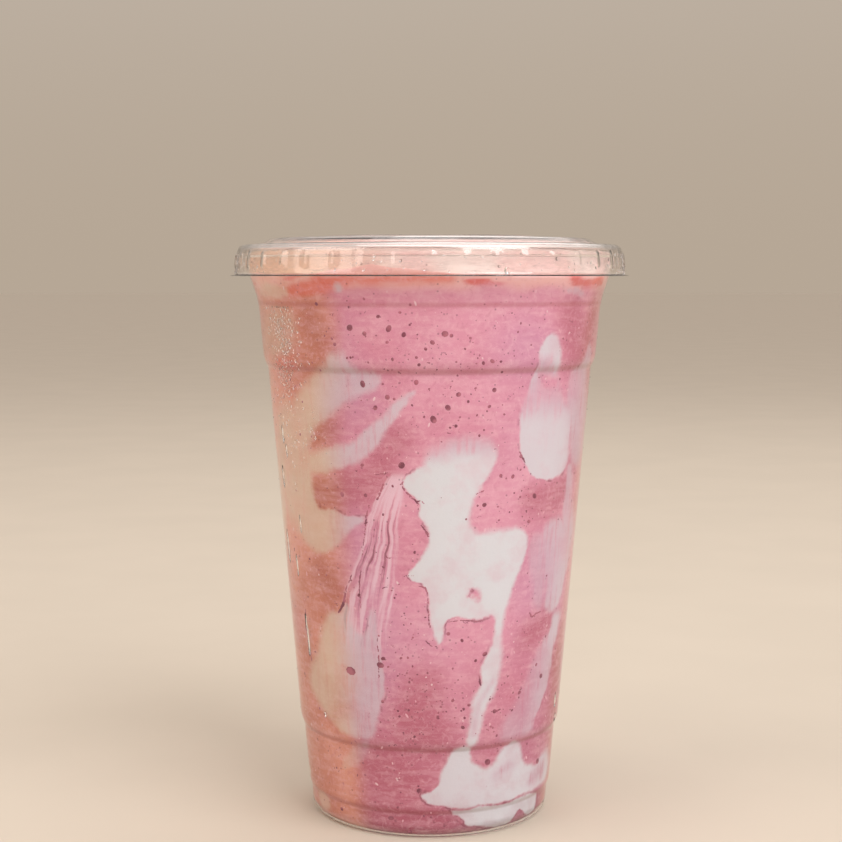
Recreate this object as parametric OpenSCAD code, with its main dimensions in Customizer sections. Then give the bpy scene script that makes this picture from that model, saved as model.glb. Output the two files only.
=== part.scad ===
// A clear takeaway cup of strawberry smoothie with a flat press-on lid.
// All three pieces are shells or fillings of revolution about +Z, and stand on the table at z = 0.
// The cup's outer surface is drawn once, as a path from the middle of its base to the lip of its
// rolled rim. The inside of the cup and the drink are that same path moved inwards.

/* [Cup] */
// Height of the cup, from the table to the top of its rolled rim
cup_h = 145.8; // [125:0.1:180]
// Outer radius that the sloping wall would have at the table
foot_r = 30.5; // [26:0.1:34]
// Outer radius of the wall at the top of the neck
neck_r = 43.9; // [38:0.1:53]
// Thickness of the cup's wall and base
cup_wall = 0.5; // [0.35:0.05:0.8]
// Radius of the rounded corner at the foot
foot_corner_r = 1.7; // [1.2:0.1:3]

/* [Base] */
// Width of the ring that stands on the table
ring_w = 2.2; // [1.5:0.1:4]
// Height of the base's middle above the table
push_up = 2.2; // [1:0.1:3.5]
// Width of the slope between that middle and the ring
push_slope_w = 2.4; // [1.5:0.1:5]

/* [Steps in the wall] */
// Height of the middle of the foot band's step
foot_step_z = 7.4; // [5:0.1:9]
// How far the wall steps out there
foot_step = 0.45; // [0.2:0.05:1]
// Height over which it does so
foot_step_h = 2.2; // [1.5:0.1:3.5]
// Height of the middle of the stacking step
stack_step_z = 24; // [14:0.1:34]
// How far the wall steps out there
stack_step = 0.7; // [0.3:0.05:1.2]
// Height over which it does so
stack_step_h = 3; // [2:0.1:4]
// Depth of the shoulder step's middle below the top of the rim
shoulder_drop = 28.7; // [24:0.1:36]
// How far the wall steps out there
shoulder_step = 0.9; // [0.3:0.05:1.5]
// Height over which it does so
shoulder_step_h = 3.7; // [2:0.1:5]

/* [Rim] */
// Depth of the neck's top below the top of the rim
neck_drop = 14.6; // [12:0.1:18]
// How far the wall flares from the neck to the rolled rim
flare = 2.4; // [1.5:0.1:4]
// Height over which it flares
flare_h = 7.8; // [5:0.1:9]
// Outer radius of the roll's round section
roll_r = 1.5; // [1.2:0.05:2.2]

/* [Lid] */
// Thickness of the lid's sheet
lid_wall = 0.35; // [0.25:0.05:0.5]
// Clearance between the rolled rim and the lid, above it and round it
lid_gap = 0.1; // [0.05:0.05:0.3]
// Height of the skirt, from the middle of the rolled rim down to the flange
skirt_h = 5.7; // [4:0.1:8]
// How much wider the skirt is at the flange
skirt_flare = 0.75; // [0.3:0.05:1.5]
// Width of the flange
flange_w = 1; // [0.5:0.1:3]
// Width of the flat ledge over and inside the rim
ledge_w = 3.9; // [2:0.1:5]
// Height of the raised top above that ledge
riser_h = 1.6; // [1:0.1:3]
// Width of the slope up to the raised top
riser_w = 2.6; // [1:0.1:3.5]
// Width of the flat border of the raised top
border_w = 2.4; // [1:0.1:4]
// Depth of the channel inside that border
channel_h = 0.7; // [0.3:0.1:1.5]
// Width of the channel's floor
channel_w = 1.6; // [0.5:0.1:3]
// Width of the slope from the channel up to the flat disc in the middle
disc_slope_w = 9.8; // [5:0.1:12]
// Height of that disc above the raised top
disc_h = 0.4; // [0.2:0.1:1]

/* [Lid ribs] */
// Number of upright ribs round the skirt
ribs = 40; // [12:1:60]
// Width of a rib
rib_w = 0.9; // [0.5:0.1:1.5]
// Height of a rib
rib_h = 3.6; // [2:0.1:5]
// How far a rib stands out of the skirt
rib_out = 0.3; // [0.15:0.05:0.5]
// Length of each bar of the raised cross where a straw goes through
cross_w = 15; // [10:0.5:20]
// Width and height of those bars
cross_bar = 0.6; // [0.4:0.1:1]

/* [Drink] */
// Depth of the drink's level below the top of the rim
level_drop = 7.3; // [5:0.1:60]
// Clearance between the drink and the cup
drink_gap = 0.05; // [0.02:0.01:0.2]
// Height of the tallest lump in the froth
froth_h = 2.4; // [1:0.1:3]
// Radius of the widest lump where it leaves the level
froth_r = 11; // [6:0.5:13]

/* [Hidden] */
$fn = 128;

// Heights that the rim sets
neck_z = cup_h - neck_drop;
shoulder_z = cup_h - shoulder_drop;
level_z = cup_h - level_drop;
roll_z = cup_h - roll_r;

// Radius of the middle of the roll, and of the whole rim
roll_mid_r = neck_r + flare - cup_wall + roll_r;
rim_r = roll_mid_r + roll_r;

// What the wall leans out for each millimetre of height, steps apart
draft = (neck_r - foot_r - foot_step - stack_step - shoulder_step) / neck_z;

// Number of straight bits in a wall step, in the plain wall between steps and in a round corner
step_bits = 6;
wall_bits = 8;
arc_bits = 10;

// Middle of the lid's round shoulder and its outer radius
shoulder_r = roll_r + lid_gap + lid_wall;
lid_top_z = roll_z + shoulder_r;

// Froth lumps are set out on a sunflower spiral, so that no two line up, and clear of the wall
lumps = 8;
golden_angle = 137.5;
froth_border = 6;
froth_reach = wall_r(min(level_z, neck_z)) - cup_wall - froth_border - froth_r;
// Share of the tallest lump that the lowest one has, and that they differ by in turn
low_lump = 0.35;
lump_cycle = 3;

// Depth to which lumps, ribs and bars reach into what they grow from
sink = 0.2;

// ---- Paths ----

// Eases from 0 to 1 as t goes from 0 to 1, level at both ends
function ease(t) = t <= 0 ? 0 : t >= 1 ? 1 : t * t * (3 - 2 * t);

// A step of height h centred on z = mid
function eased_step(z, mid, h) = ease((z - mid) / h + 0.5);

// Outer radius of the cup's wall at height z, below the flare
function wall_r(z) =
    foot_r + draft * z
    + foot_step * eased_step(z, foot_step_z, foot_step_h)
    + stack_step * eased_step(z, stack_step_z, stack_step_h)
    + shoulder_step * eased_step(z, shoulder_z, shoulder_step_h);

// Points on an arc about [r, z], from angle a0 to a1
function arc(r, z, radius, a0, a1) =
    [for (i = [0:arc_bits]) let (a = a0 + (a1 - a0) * i / arc_bits)
        [r + radius * cos(a), z + radius * sin(a)]];

// Heights from z0 to z1 in n bits, without the first
function heights(z0, z1, n) = [for (i = [1:n]) z0 + (z1 - z0) * i / n];

// Heights across a wall step
function step_heights(mid, h) = heights(mid - h / 2, mid + h / 2, step_bits);

// Unit vector that points left of the way from a to b
function left_of(a, b) = let (d = b - a) [-d[1], d[0]] / norm(d);

// Path moved to its left by t, with its corners kept sharp
function moved(path, t) =
    [for (i = [0:len(path) - 1])
        let (last = len(path) - 1)
        let (before = left_of(path[max(i - 1, 0)], path[max(i, 1)]))
        let (after = left_of(path[min(i, last - 1)], path[min(i + 1, last)]))
        path[i] + t * (before + after) / (1 + before * after)];

function backwards(path) = [for (i = [len(path) - 1:-1:0]) path[i]];

// Base of the cup: the raised middle, the slope down to the ring, and the ring's round corner
corner_r = wall_r(foot_corner_r) - foot_corner_r;
base_path = concat(
    [[0, push_up],
     [corner_r - ring_w - push_slope_w, push_up],
     [corner_r - ring_w, 0]],
    arc(corner_r, foot_corner_r, foot_corner_r, -90, 0));

// Wall from the foot to the top of the neck
wall_path = [for (z = concat(
    heights(foot_corner_r, foot_step_z - foot_step_h / 2, 1),
    step_heights(foot_step_z, foot_step_h),
    heights(foot_step_z + foot_step_h / 2, stack_step_z - stack_step_h / 2, 1),
    step_heights(stack_step_z, stack_step_h),
    heights(stack_step_z + stack_step_h / 2, shoulder_z - shoulder_step_h / 2, 1),
    step_heights(shoulder_z, shoulder_step_h),
    heights(shoulder_z + shoulder_step_h / 2, neck_z, 1))) [wall_r(z), z]];

// Flare from the neck to the upright inner side of the roll
flare_path = [[neck_r + flare, neck_z + flare_h]];

// Roll, which turns out and down over the top until its lip faces down
roll_path = arc(roll_mid_r, roll_z, roll_r - cup_wall, 180, -90);

cup_path = concat(base_path, wall_path, flare_path, roll_path);

// Lid, from the axis out to the edge of its flange. Its top steps down to a ledge over the rim.
ledge_r = roll_mid_r - ledge_w;
border_r = ledge_r - riser_w;
channel_r = border_r - border_w;
skirt_r = roll_mid_r + shoulder_r;
flange_z = roll_z - skirt_h;
raised_z = lid_top_z + riser_h;
lid_path = concat(
    [[0, raised_z + disc_h],
     [channel_r - channel_w - disc_slope_w, raised_z + disc_h],
     [channel_r - channel_w, raised_z - channel_h],
     [channel_r, raised_z - channel_h],
     [channel_r + channel_h, raised_z],
     [border_r, raised_z],
     [ledge_r, lid_top_z]],
    arc(roll_mid_r, roll_z, shoulder_r, 90, 0),
    [[skirt_r + skirt_flare, flange_z],
     [skirt_r + skirt_flare + flange_w, flange_z]]);

// ---- Pieces ----

// Sheet of thickness t on the left of a path, turned about the axis
module turned_sheet(path, t) {
    rotate_extrude()
        polygon(concat(path, backwards(moved(path, t))));
}

// The clear cup, one sheet from its base to its rolled rim
module cup() {
    color("gainsboro", 0.4)
        turned_sheet(cup_path, cup_wall);
}

// One upright rib, on the skirt that faces +X
module rib() {
    lean = atan(skirt_flare / skirt_h);
    rib_r = skirt_r + skirt_flare * rib_h / 2 / skirt_h;
    translate([rib_r, 0, roll_z - rib_h / 2])
        rotate([0, -lean, 0])
            translate([-sink, -rib_w / 2, -rib_h / 2])
                cube([sink + rib_out, rib_w, rib_h]);
}

// Raised cross in the middle of the lid
module straw_cross() {
    for (turn = [0, 90])
        rotate(turn)
            translate([-cross_w / 2, -cross_bar / 2, raised_z + disc_h - sink])
                cube([cross_w, cross_bar, sink + cross_bar]);
}

// The clear lid, with ribs round its skirt
module lid() {
    color("whitesmoke", 0.4)
        union() {
            turned_sheet(lid_path, -lid_wall);
            for (i = [0:ribs - 1])
                rotate(i * 360 / ribs)
                    rib();
            straw_cross();
        }
}

// A low round lump of height h that is r wide where it leaves the level
module lump(r, h) {
    ball_r = (r * r + h * h) / (2 * h);
    intersection() {
        translate([0, 0, h - ball_r])
            sphere(ball_r);
        translate([0, 0, -sink])
            cylinder(h = sink + h, r = 2 * r);
    }
}

// All that the cup can hold below its roll
module inside_of_cup() {
    path_to_roll = concat(base_path, wall_path, flare_path, [roll_path[0]]);
    inside_path = moved(path_to_roll, cup_wall + drink_gap);
    rotate_extrude()
        polygon(concat(inside_path, [[0, inside_path[len(inside_path) - 1][1]]]));
}

// The drink, up to its level, with froth on it
module smoothie() {
    color("lightpink")
        union() {
            intersection() {
                inside_of_cup();
                cylinder(h = level_z, r = rim_r);
            }
            for (i = [0:lumps - 1])
                let (size = low_lump + (1 - low_lump) * (i % lump_cycle) / (lump_cycle - 1))
                rotate(i * golden_angle)
                    translate([froth_reach * sqrt(i / lumps), 0, level_z])
                        lump(froth_r * size, froth_h * size);
        }
}

cup();
lid();
smoothie();
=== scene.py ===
# %% [markdown]
# # A strawberry smoothie in a clear cup
# The drink comes with the cup and the lid that hold it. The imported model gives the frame, in
# metres with Z up and the cup standing at the origin. Every piece here is a surface worked out
# with numpy: a profile turned about Z, whose radius or height may also change with the angle.
# That suits a cup, because a thermoformed cup is a turned shape, and it keeps the pieces in true
# contact.

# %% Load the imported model
import math

import bpy
import numpy as np
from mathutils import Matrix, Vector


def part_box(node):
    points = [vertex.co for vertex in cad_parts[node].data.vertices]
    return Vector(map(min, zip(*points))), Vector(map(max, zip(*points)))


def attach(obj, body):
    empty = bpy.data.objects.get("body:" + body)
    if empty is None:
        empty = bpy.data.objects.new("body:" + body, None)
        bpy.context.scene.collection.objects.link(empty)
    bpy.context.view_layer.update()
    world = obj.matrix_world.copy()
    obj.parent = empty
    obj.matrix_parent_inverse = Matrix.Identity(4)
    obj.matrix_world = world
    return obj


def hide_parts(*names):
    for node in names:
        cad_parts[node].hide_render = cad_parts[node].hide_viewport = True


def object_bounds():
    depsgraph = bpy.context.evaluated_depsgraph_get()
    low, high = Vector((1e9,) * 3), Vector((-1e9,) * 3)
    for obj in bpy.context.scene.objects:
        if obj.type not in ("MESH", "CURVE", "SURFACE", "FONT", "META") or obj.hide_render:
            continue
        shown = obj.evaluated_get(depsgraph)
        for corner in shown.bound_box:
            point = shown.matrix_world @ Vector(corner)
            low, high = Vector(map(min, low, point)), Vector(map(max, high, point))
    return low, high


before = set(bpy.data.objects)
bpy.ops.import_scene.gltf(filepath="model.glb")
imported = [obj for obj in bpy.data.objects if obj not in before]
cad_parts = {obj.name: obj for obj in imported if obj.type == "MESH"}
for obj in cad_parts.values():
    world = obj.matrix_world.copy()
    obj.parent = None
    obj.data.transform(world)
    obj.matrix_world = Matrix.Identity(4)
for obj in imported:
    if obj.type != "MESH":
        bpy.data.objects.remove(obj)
cad_low, cad_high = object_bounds()
MM = 0.001
print("nodes:", sorted(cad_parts), "height in mm:", round(cad_high.z / MM, 2))

# %% [markdown]
# ## Ways to write the shapes
# Everything is written in millimetres and becomes metres at the last moment. A place on the cup
# is given by an angle in degrees and a height in millimetres. The angle is 0 at the front, where
# -Y is, and grows to the viewer's right, which is counter-clockwise seen from above.


# %% Turning a profile into a mesh
def ease(t):
    """0 up to t = 0, 1 from t = 1, and 3t^2 - 2t^3 between, which starts and ends level."""
    t = np.clip(t, 0.0, 1.0)
    return t * t * (3 - 2 * t)


def on_axis(angle, radius, height):
    """Points (r sin a, -r cos a, z) for angles in degrees, radii and heights in millimetres."""
    a = np.radians(angle)
    parts = np.broadcast_arrays(radius * np.sin(a), -radius * np.cos(a), height)
    return np.stack(parts, axis=-1)


def arc(r, z, radius, start, end, bits):
    """Points (r + radius cos t, z + radius sin t) as t goes from start to end in degrees."""
    t = np.radians(np.linspace(start, end, bits))
    return np.stack([r + radius * np.cos(t), z + radius * np.sin(t)], axis=1)


def moved(path, distance):
    """A path of (r, z) points moved to its left, with corners kept sharp.

    With n1 and n2 the left normals before and after a point p, it goes to
    p + distance * (n1 + n2) / (1 + n1 . n2)."""
    step = np.diff(path, axis=0)
    left = np.stack([-step[:, 1], step[:, 0]], axis=1) / np.linalg.norm(step, axis=1)[:, None]
    before = np.vstack([left[:1], left])
    after = np.vstack([left, left[-1:]])
    scale = 1 + np.sum(before * after, axis=1, keepdims=True)
    return path + distance * (before + after) / scale


# %% Putting a mesh into the scene
def finish_piece(name, mesh, material, replaced=()):
    """Puts a mesh into the scene as a smooth piece that rides on the cup's body."""
    mesh.materials.append(material)
    mesh.polygons.foreach_set("use_smooth", np.ones(len(mesh.polygons), bool))
    piece = bpy.data.objects.new(name, mesh)
    bpy.context.scene.collection.objects.link(piece)
    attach(piece, "root")
    if replaced:
        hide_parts(*replaced)
    print(f"{name}: {len(mesh.vertices)} points, {len(mesh.polygons)} faces")


def mesh_from(name, points, *faces):
    """A mesh of points in millimetres and of arrays of faces, each face a row of point numbers."""
    mesh = bpy.data.meshes.new(name)
    mesh.from_pydata((points * MM).tolist(), [], sum((rows.tolist() for rows in faces), []))
    return mesh


def turned_mesh(name, rings):
    """A closed mesh from rings of points, an array of shape (rings, columns, 3) in millimetres.

    The first and last rings are each drawn together into one point on the axis. Faces look outwards
    when the rings run from the bottom's middle out, up and back in to the top's middle."""
    count, columns = rings.shape[:2]
    first, last = rings[0].mean(axis=0), rings[-1].mean(axis=0)
    points = np.vstack([first, rings[1:-1].reshape(-1, 3), last])
    column = np.arange(columns)
    after = np.roll(column, -1)
    row = 1 + np.arange(count - 3)[:, None] * columns
    above = row + columns
    quads = np.stack([row + column, row + after, above + after, above + column], axis=-1)
    top = 1 + (count - 3) * columns
    low_fan = np.stack([np.zeros_like(column), 1 + after, 1 + column], axis=-1)
    high_fan = np.stack([np.full_like(column, len(points) - 1), top + column, top + after], axis=-1)
    return mesh_from(name, points, quads.reshape(-1, 4), low_fan, high_fan)


# %% Smooth noise
def lattice_noise(points, cell, seed):
    """Smooth noise from -1 to 1 at points in mm: random values on a lattice, eased between."""
    side = 32  # the lattice repeats after this many cells
    table = np.random.default_rng(seed).uniform(-1, 1, (side, side, side))
    place = np.asarray(points) / cell
    base = np.floor(place).astype(int)
    mix = ease(place - base)
    total = np.zeros(place.shape[:-1])
    for corner in np.ndindex(2, 2, 2):
        at = (base + corner) % side
        share = np.prod(np.where(np.array(corner) == 1, mix, 1 - mix), axis=-1)
        total += share * table[at[..., 0], at[..., 1], at[..., 2]]
    return total


# %% [markdown]
# ## The cup's outline
# A thermoformed cup is one sheet, so one path describes it: out from the middle of the base, over
# the standing ring, up the wall with its three steps, out along the flare and over the rolled
# rim. The steps let cups stack without jamming. The inside of the sheet is the same path moved
# inwards.

# %% Sizes of the cup, in millimetres
cup_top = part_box("cup")[1].z / MM
WALL = 0.5
# How far below the top the neck ends and the shoulder's step starts
NECK_DROP, SHOULDER_DROP = 14.6, 30.5
FOOT_R, NECK_R = 30.5, 43.9
CORNER_R, RING_W, PUSH_UP, PUSH_SLOPE = 1.7, 2.2, 2.2, 2.4
ROLL_R, FLARE, FLARE_H = 1.5, 2.4, 7.8
neck_z = cup_top - NECK_DROP
roll_z = cup_top - ROLL_R
roll_mid_r = NECK_R + FLARE - WALL + ROLL_R

# Each step: the height where it starts, the height over which it rises, and how far it goes out
STEPS = ((6.3, 2.2, 0.45), (22.5, 3.0, 0.7), (cup_top - SHOULDER_DROP, 3.7, 0.9))
# A power under 1 makes a step rise fast at its foot and settle slowly, and one over 1 starts slowly
STEP_POWER, FLARE_POWER = 0.55, 1.15
draft = (NECK_R - FOOT_R - sum(out for _, _, out in STEPS)) / neck_z
print("the wall leans out", round(draft, 4), "mm for each mm up")


# %% The cup's outline
def cup_radius(z):
    """Outer radius at height z: a straight draft, plus each step eased in, plus the flare."""
    r = FOOT_R + draft * np.minimum(z, neck_z)
    for start, rise, out in STEPS:
        r = r + out * ease(np.clip((z - start) / rise, 0, 1) ** STEP_POWER)
    return r + FLARE * np.clip((z - neck_z) / FLARE_H, 0, 1) ** FLARE_POWER


def heights_with_steps(start, end, coarse, fine):
    """Heights from start to end, coarse apart, and fine apart across the wall's steps."""
    parts = [np.arange(start, end, coarse)]
    parts += [np.arange(low - 0.4, low + rise + 0.4, fine) for low, rise, _ in STEPS]
    z = np.unique(np.round(np.concatenate(parts), 2))
    z = z[(z > start) & (z < end)]
    return z[np.insert(np.diff(z) > fine * 0.6, 0, True)]


corner_r = float(cup_radius(CORNER_R)) - CORNER_R
wall_z = heights_with_steps(CORNER_R, neck_z + FLARE_H, 3.0, 0.3)
cup_path = np.vstack([
    [[0, PUSH_UP], [12, PUSH_UP], [corner_r - RING_W - PUSH_SLOPE, PUSH_UP]],
    [[corner_r - RING_W - PUSH_SLOPE * 0.8, PUSH_UP * 0.93]],
    [[corner_r - RING_W - PUSH_SLOPE * 0.2, PUSH_UP * 0.07], [corner_r - RING_W, 0]],
    arc(corner_r, CORNER_R, CORNER_R, -90, 0, 9),
    np.stack([cup_radius(wall_z), wall_z], axis=1),
    [[NECK_R + FLARE, neck_z + FLARE_H]],
    arc(roll_mid_r, roll_z, ROLL_R - WALL, 180, -100, 26),
])
rim_width = round(2 * (roll_mid_r + ROLL_R), 1)
print("cup outline:", len(cup_path), "points, rim", rim_width, "mm across")

# %% [markdown]
# ## Shader helpers
# A small function adds a node, sets it up and links it in one line, so a material below reads
# like a list of what it does. Sockets are given by name. A value that is another node's output is
# linked.


# %% Adding nodes
def add(tree, kind, settings=None, sockets=None, out=0):
    """Adds a node of a kind, sets properties and sockets, and gives back one of its outputs."""
    made = tree.nodes.new("ShaderNode" + kind)
    for key, value in (settings or {}).items():
        setattr(made, key, value)
    for key, value in (sockets or {}).items():
        if isinstance(value, bpy.types.NodeSocket):
            tree.links.new(value, made.inputs[key])
        else:
            made.inputs[key].default_value = value
    return made.outputs[out] if made.outputs else made


def math_node(tree, operation, a, b=0.0, c=0.0):
    """One Math node."""
    return add(tree, "Math", {"operation": operation}, {0: a, 1: b, 2: c})


def ramp(tree, value, low, high, to_low=0.0, to_high=1.0):
    """Eases from to_low to to_high as value goes from low to high."""
    sockets = {"Value": value, "From Min": low, "From Max": high,
               "To Min": to_low, "To Max": to_high}
    return add(tree, "MapRange", {"interpolation_type": "SMOOTHSTEP"}, sockets)


def mix_colour(tree, share, a, b):
    """Mixes two colours, each a socket or an RGB triple."""
    a, b = (c if isinstance(c, bpy.types.NodeSocket) else (*c, 1.0) for c in (a, b))
    # Sockets 6 and 7 are the Mix node's colours, and output 2 is the mixed colour
    return add(tree, "Mix", {"data_type": "RGBA"}, {0: share, 6: a, 7: b}, out=2)


def noise(tree, where, size_mm, detail=2.0, roughness=0.5, seed=0.0):
    """Noise in object space whose patches are about size_mm across. A seed in metres moves it."""
    moved_to = add(tree, "VectorMath", {"operation": "ADD"}, {0: where, 1: (seed, seed * 0.7, 0)})
    return add(tree, "TexNoise", None, {"Vector": moved_to, "Scale": 1 / (size_mm * MM),
                                        "Detail": detail, "Roughness": roughness})


def along_axis(tree, where, axis):
    """A coordinate of a place in millimetres. Axis 0 is X, 1 is Y and 2 is Z."""
    return math_node(tree, "DIVIDE", add(tree, "SeparateXYZ", None, {0: where}, out=axis), MM)


def scaled_up(tree, where, scale):
    """A place with its height scaled: noise read there is level when above 1, upright below."""
    return add(tree, "Mapping", None, {"Vector": where, "Scale": (1.0, 1.0, scale)})


def srgb(r, g, b):
    """A colour written as 0 to 255 on screen, as the linear values a shader needs."""
    c = np.array([r, g, b]) / 255
    return tuple(np.where(c <= 0.04045, c / 12.92, ((c + 0.055) / 1.055) ** 2.4).tolist())


def new_material(name):
    """A material with an empty tree. Gives it, its tree and the Object coordinates in it."""
    material = bpy.data.materials.new(name)
    material.use_nodes = True
    tree = material.node_tree
    tree.nodes.clear()
    return material, tree, add(tree, "TexCoord", out=3)


def end_material(tree, skin, lamps_through=None):
    """Ends a tree in a shader.

    Where a colour is given for lamps_through, rays on their way to a lamp take a Transparent
    shader of that colour in the shader's place."""
    if lamps_through:
        clear = add(tree, "BsdfTransparent", None, {"Color": (*lamps_through, 1)})
        to_lamp = add(tree, "LightPath", out=1)
        skin = add(tree, "MixShader", None, {0: to_lamp, 1: skin, 2: clear})
    add(tree, "OutputMaterial", None, {"Surface": skin})


def group(name, inputs, output):
    """A node group with one float output. Gives its tree, its inputs and that output.

    Each input is a name and its default, or None for a vector without one."""
    tree = bpy.data.node_groups.new(name, "ShaderNodeTree")
    for key, value in inputs.items():
        kind = "NodeSocketVector" if value is None else "NodeSocketFloat"
        socket = tree.interface.new_socket(key, in_out="INPUT", socket_type=kind)
        if value is not None:
            socket.default_value = value
    tree.interface.new_socket(output, in_out="OUTPUT", socket_type="NodeSocketFloat")
    inside, outside = (tree.nodes.new("NodeGroup" + end) for end in ("Input", "Output"))
    return tree, inside.outputs, outside.inputs[output]


# %% [markdown]
# ## Shared effect: pinholes
# Blended fruit and milk hold thousands of tiny bubbles, and where one touches the wall it shows
# as a small dark dot. A Voronoi texture gives each cell a centre and a random number. The number
# decides whether the cell has a bubble and how wide it is, so the dots look scattered and not
# laid out.

# %% The pinhole group
pinholes, given, mask = group("pinholes", {
    "Place": None, "Spacing mm": 2.0, "Largest mm": 0.5, "Share": 0.4}, "Mask")
cell_scale = math_node(pinholes, "DIVIDE", 1 / MM, given["Spacing mm"])
cells = add(pinholes, "TexVoronoi", None, {"Vector": given["Place"], "Scale": cell_scale}).node
chance = add(pinholes, "SeparateColor", None, {0: cells.outputs["Color"]})
here = ramp(pinholes, math_node(pinholes, "SUBTRACT", given["Share"], chance), 0.0, 0.25)
size = math_node(pinholes, "DIVIDE", given["Largest mm"], given["Spacing mm"])
size = math_node(pinholes, "MULTIPLY", size, here)
depth_in = math_node(pinholes, "SUBTRACT", size, cells.outputs["Distance"])
pinholes.links.new(ramp(pinholes, depth_in, 0.0, 0.06), mask)
print("node groups:", [g.name for g in bpy.data.node_groups])

# %% [markdown]
# ## Clear plastic
# The cup and lid are clear PET. Its surface bends and mirrors light like glass, so it is a plain
# transmissive shader with an index of refraction of 1.5. Rays on their way to a lamp take a
# Transparent shader in its place, because a path tracer would otherwise find the drink behind the
# wall in shadow. A little uneven roughness stands for fine scuffs and breath of mist.


# %% Clear plastic material
def clear_plastic(name, tint, mist, shadow_tint):
    """PET sheet: its tint, its largest roughness, and the colour it lets through to lamps."""
    material, tree, where = new_material(name)
    cloud = noise(tree, where, 9.0, 3.0, 0.6)
    wave = noise(tree, where, 5.0, 1.0)
    normal = add(tree, "Bump", None, {"Strength": 0.05, "Distance": 0.001, "Height": wave})
    skin = add(tree, "BsdfPrincipled", None, {
        "Base Color": (*tint, 1), "Roughness": ramp(tree, cloud, 0.35, 0.75, 0.015, mist),
        "Normal": normal, "IOR": 1.5, "Transmission Weight": 1.0})
    end_material(tree, skin, shadow_tint)
    return material


cup_plastic = clear_plastic("cup_plastic", (1.0, 0.995, 0.99), 0.1, (0.96, 0.955, 0.95))
lid_plastic = clear_plastic("lid_plastic", (0.99, 0.96, 0.945), 0.14, (0.97, 0.965, 0.96))

# %% The cup
CUP_COLUMNS = 288
cup_section = np.vstack([cup_path, moved(cup_path, WALL)[::-1]])
cup_section[[0, -1], 0] = 0
cup_angles = np.arange(CUP_COLUMNS) * 360 / CUP_COLUMNS
cup_rings = on_axis(cup_angles[None, :], cup_section[:, :1], cup_section[:, 1:])
cup_mesh = turned_mesh("clear_cup", cup_rings)
finish_piece("clear_cup", cup_mesh, cup_plastic, ["cup"])

# %% [markdown]
# ## The lid
# The lid is a thinner sheet. Its section runs from the middle of the top over a shallow cone, a
# channel, a raised border and a ledge above the rim, then round the shoulder, down the skirt and
# out along the flange. The cone carries fine radial ribs and the skirt upright ones, which
# stiffen it. Both are formed in the sheet, so they move its two faces together.

# %% Sizes of the lid, in millimetres
LID_WALL, LID_GAP = 0.35, 0.1
SKIRT_H, SKIRT_FLARE, FLANGE_W = 5.7, 0.75, 1.0
LEDGE_W, RISER_W, BORDER_W, CHANNEL_W, CONE_W = 3.9, 2.6, 2.4, 1.6, 9.8
RISER_H, CHANNEL_H, DISC_H = 1.6, 0.7, 0.4
SKIRT_RIBS, SKIRT_RIB_OUT = 40, 0.45
CONE_RIBS, CONE_RIB_UP = 144, 0.22
CROSS_HALF, CROSS_BAR = 7.5, 0.6
shoulder_r = ROLL_R + LID_GAP + LID_WALL
lid_top = roll_z + shoulder_r
raised_z = lid_top + RISER_H
ledge_r = roll_mid_r - LEDGE_W
border_r = ledge_r - RISER_W
channel_r = border_r - BORDER_W
cone_r = channel_r - CHANNEL_W
disc_r = cone_r - CONE_W
skirt_r = roll_mid_r + shoulder_r
flange_z = roll_z - SKIRT_H
print("the lid's border is at a height of", round(raised_z, 2), "mm")


# %% The lid's outline
def rounded(corners, radius, bits=4):
    """A path through corners, each rounded by a quadratic curve that starts radius before it.

    From start to end past the corner, it is (1 - t)^2 start + 2t(1 - t) corner + t^2 end."""
    corners = np.asarray(corners, float)
    parts = [corners[:1]]
    t = np.linspace(0, 1, bits)[:, None]
    for before, here, after in zip(corners[:-2], corners[1:-1], corners[2:]):
        back, on = before - here, after - here
        reach_back = min(radius, np.linalg.norm(back) / 2)
        reach_on = min(radius, np.linalg.norm(on) / 2)
        start = here + back / np.linalg.norm(back) * reach_back
        end = here + on / np.linalg.norm(on) * reach_on
        parts.append((1 - t) ** 2 * start + 2 * t * (1 - t) * here + t ** 2 * end)
    return np.vstack(parts + [corners[-1:]])


def filled_in(path, spacing):
    """The same path with points added so that none are further than spacing apart."""
    parts = [path[:1]]
    for a, b in zip(path[:-1], path[1:]):
        bits = max(1, int(np.ceil(np.linalg.norm(b - a) / spacing)))
        parts.append(a + (b - a) * (np.arange(1, bits + 1) / bits)[:, None])
    return np.vstack(parts)


lid_top_path = rounded(
    [[0, raised_z + DISC_H], [disc_r, raised_z + DISC_H], [cone_r, raised_z - CHANNEL_H],
     [channel_r, raised_z - CHANNEL_H], [channel_r + CHANNEL_H, raised_z], [border_r, raised_z],
     [ledge_r, lid_top], [roll_mid_r, lid_top]], 0.8)
flange_r = skirt_r + SKIRT_FLARE
lid_skirt_path = np.vstack([
    [[skirt_r + SKIRT_FLARE * k, roll_z - SKIRT_H * k] for k in np.linspace(0.06, 0.94, 12)],
    [[flange_r + 0.06, flange_z + 0.22], [flange_r + 0.3, flange_z + 0.1]],
    [[flange_r + 0.7, flange_z + 0.02], [flange_r + FLANGE_W, flange_z - 0.12]]])
# Rings close together across the arms of the cross
cross_rings = [[r, raised_z + DISC_H] for r in (0.5, 1.2, 2.4, 4.0, 5.6, 6.9, 7.3, 7.7, 8.1)]
lid_path = np.vstack([
    lid_top_path[:1], cross_rings, filled_in(lid_top_path[1:], 2.4)[:-1],
    arc(roll_mid_r, roll_z, shoulder_r, 90, 0, 9), lid_skirt_path])
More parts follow.
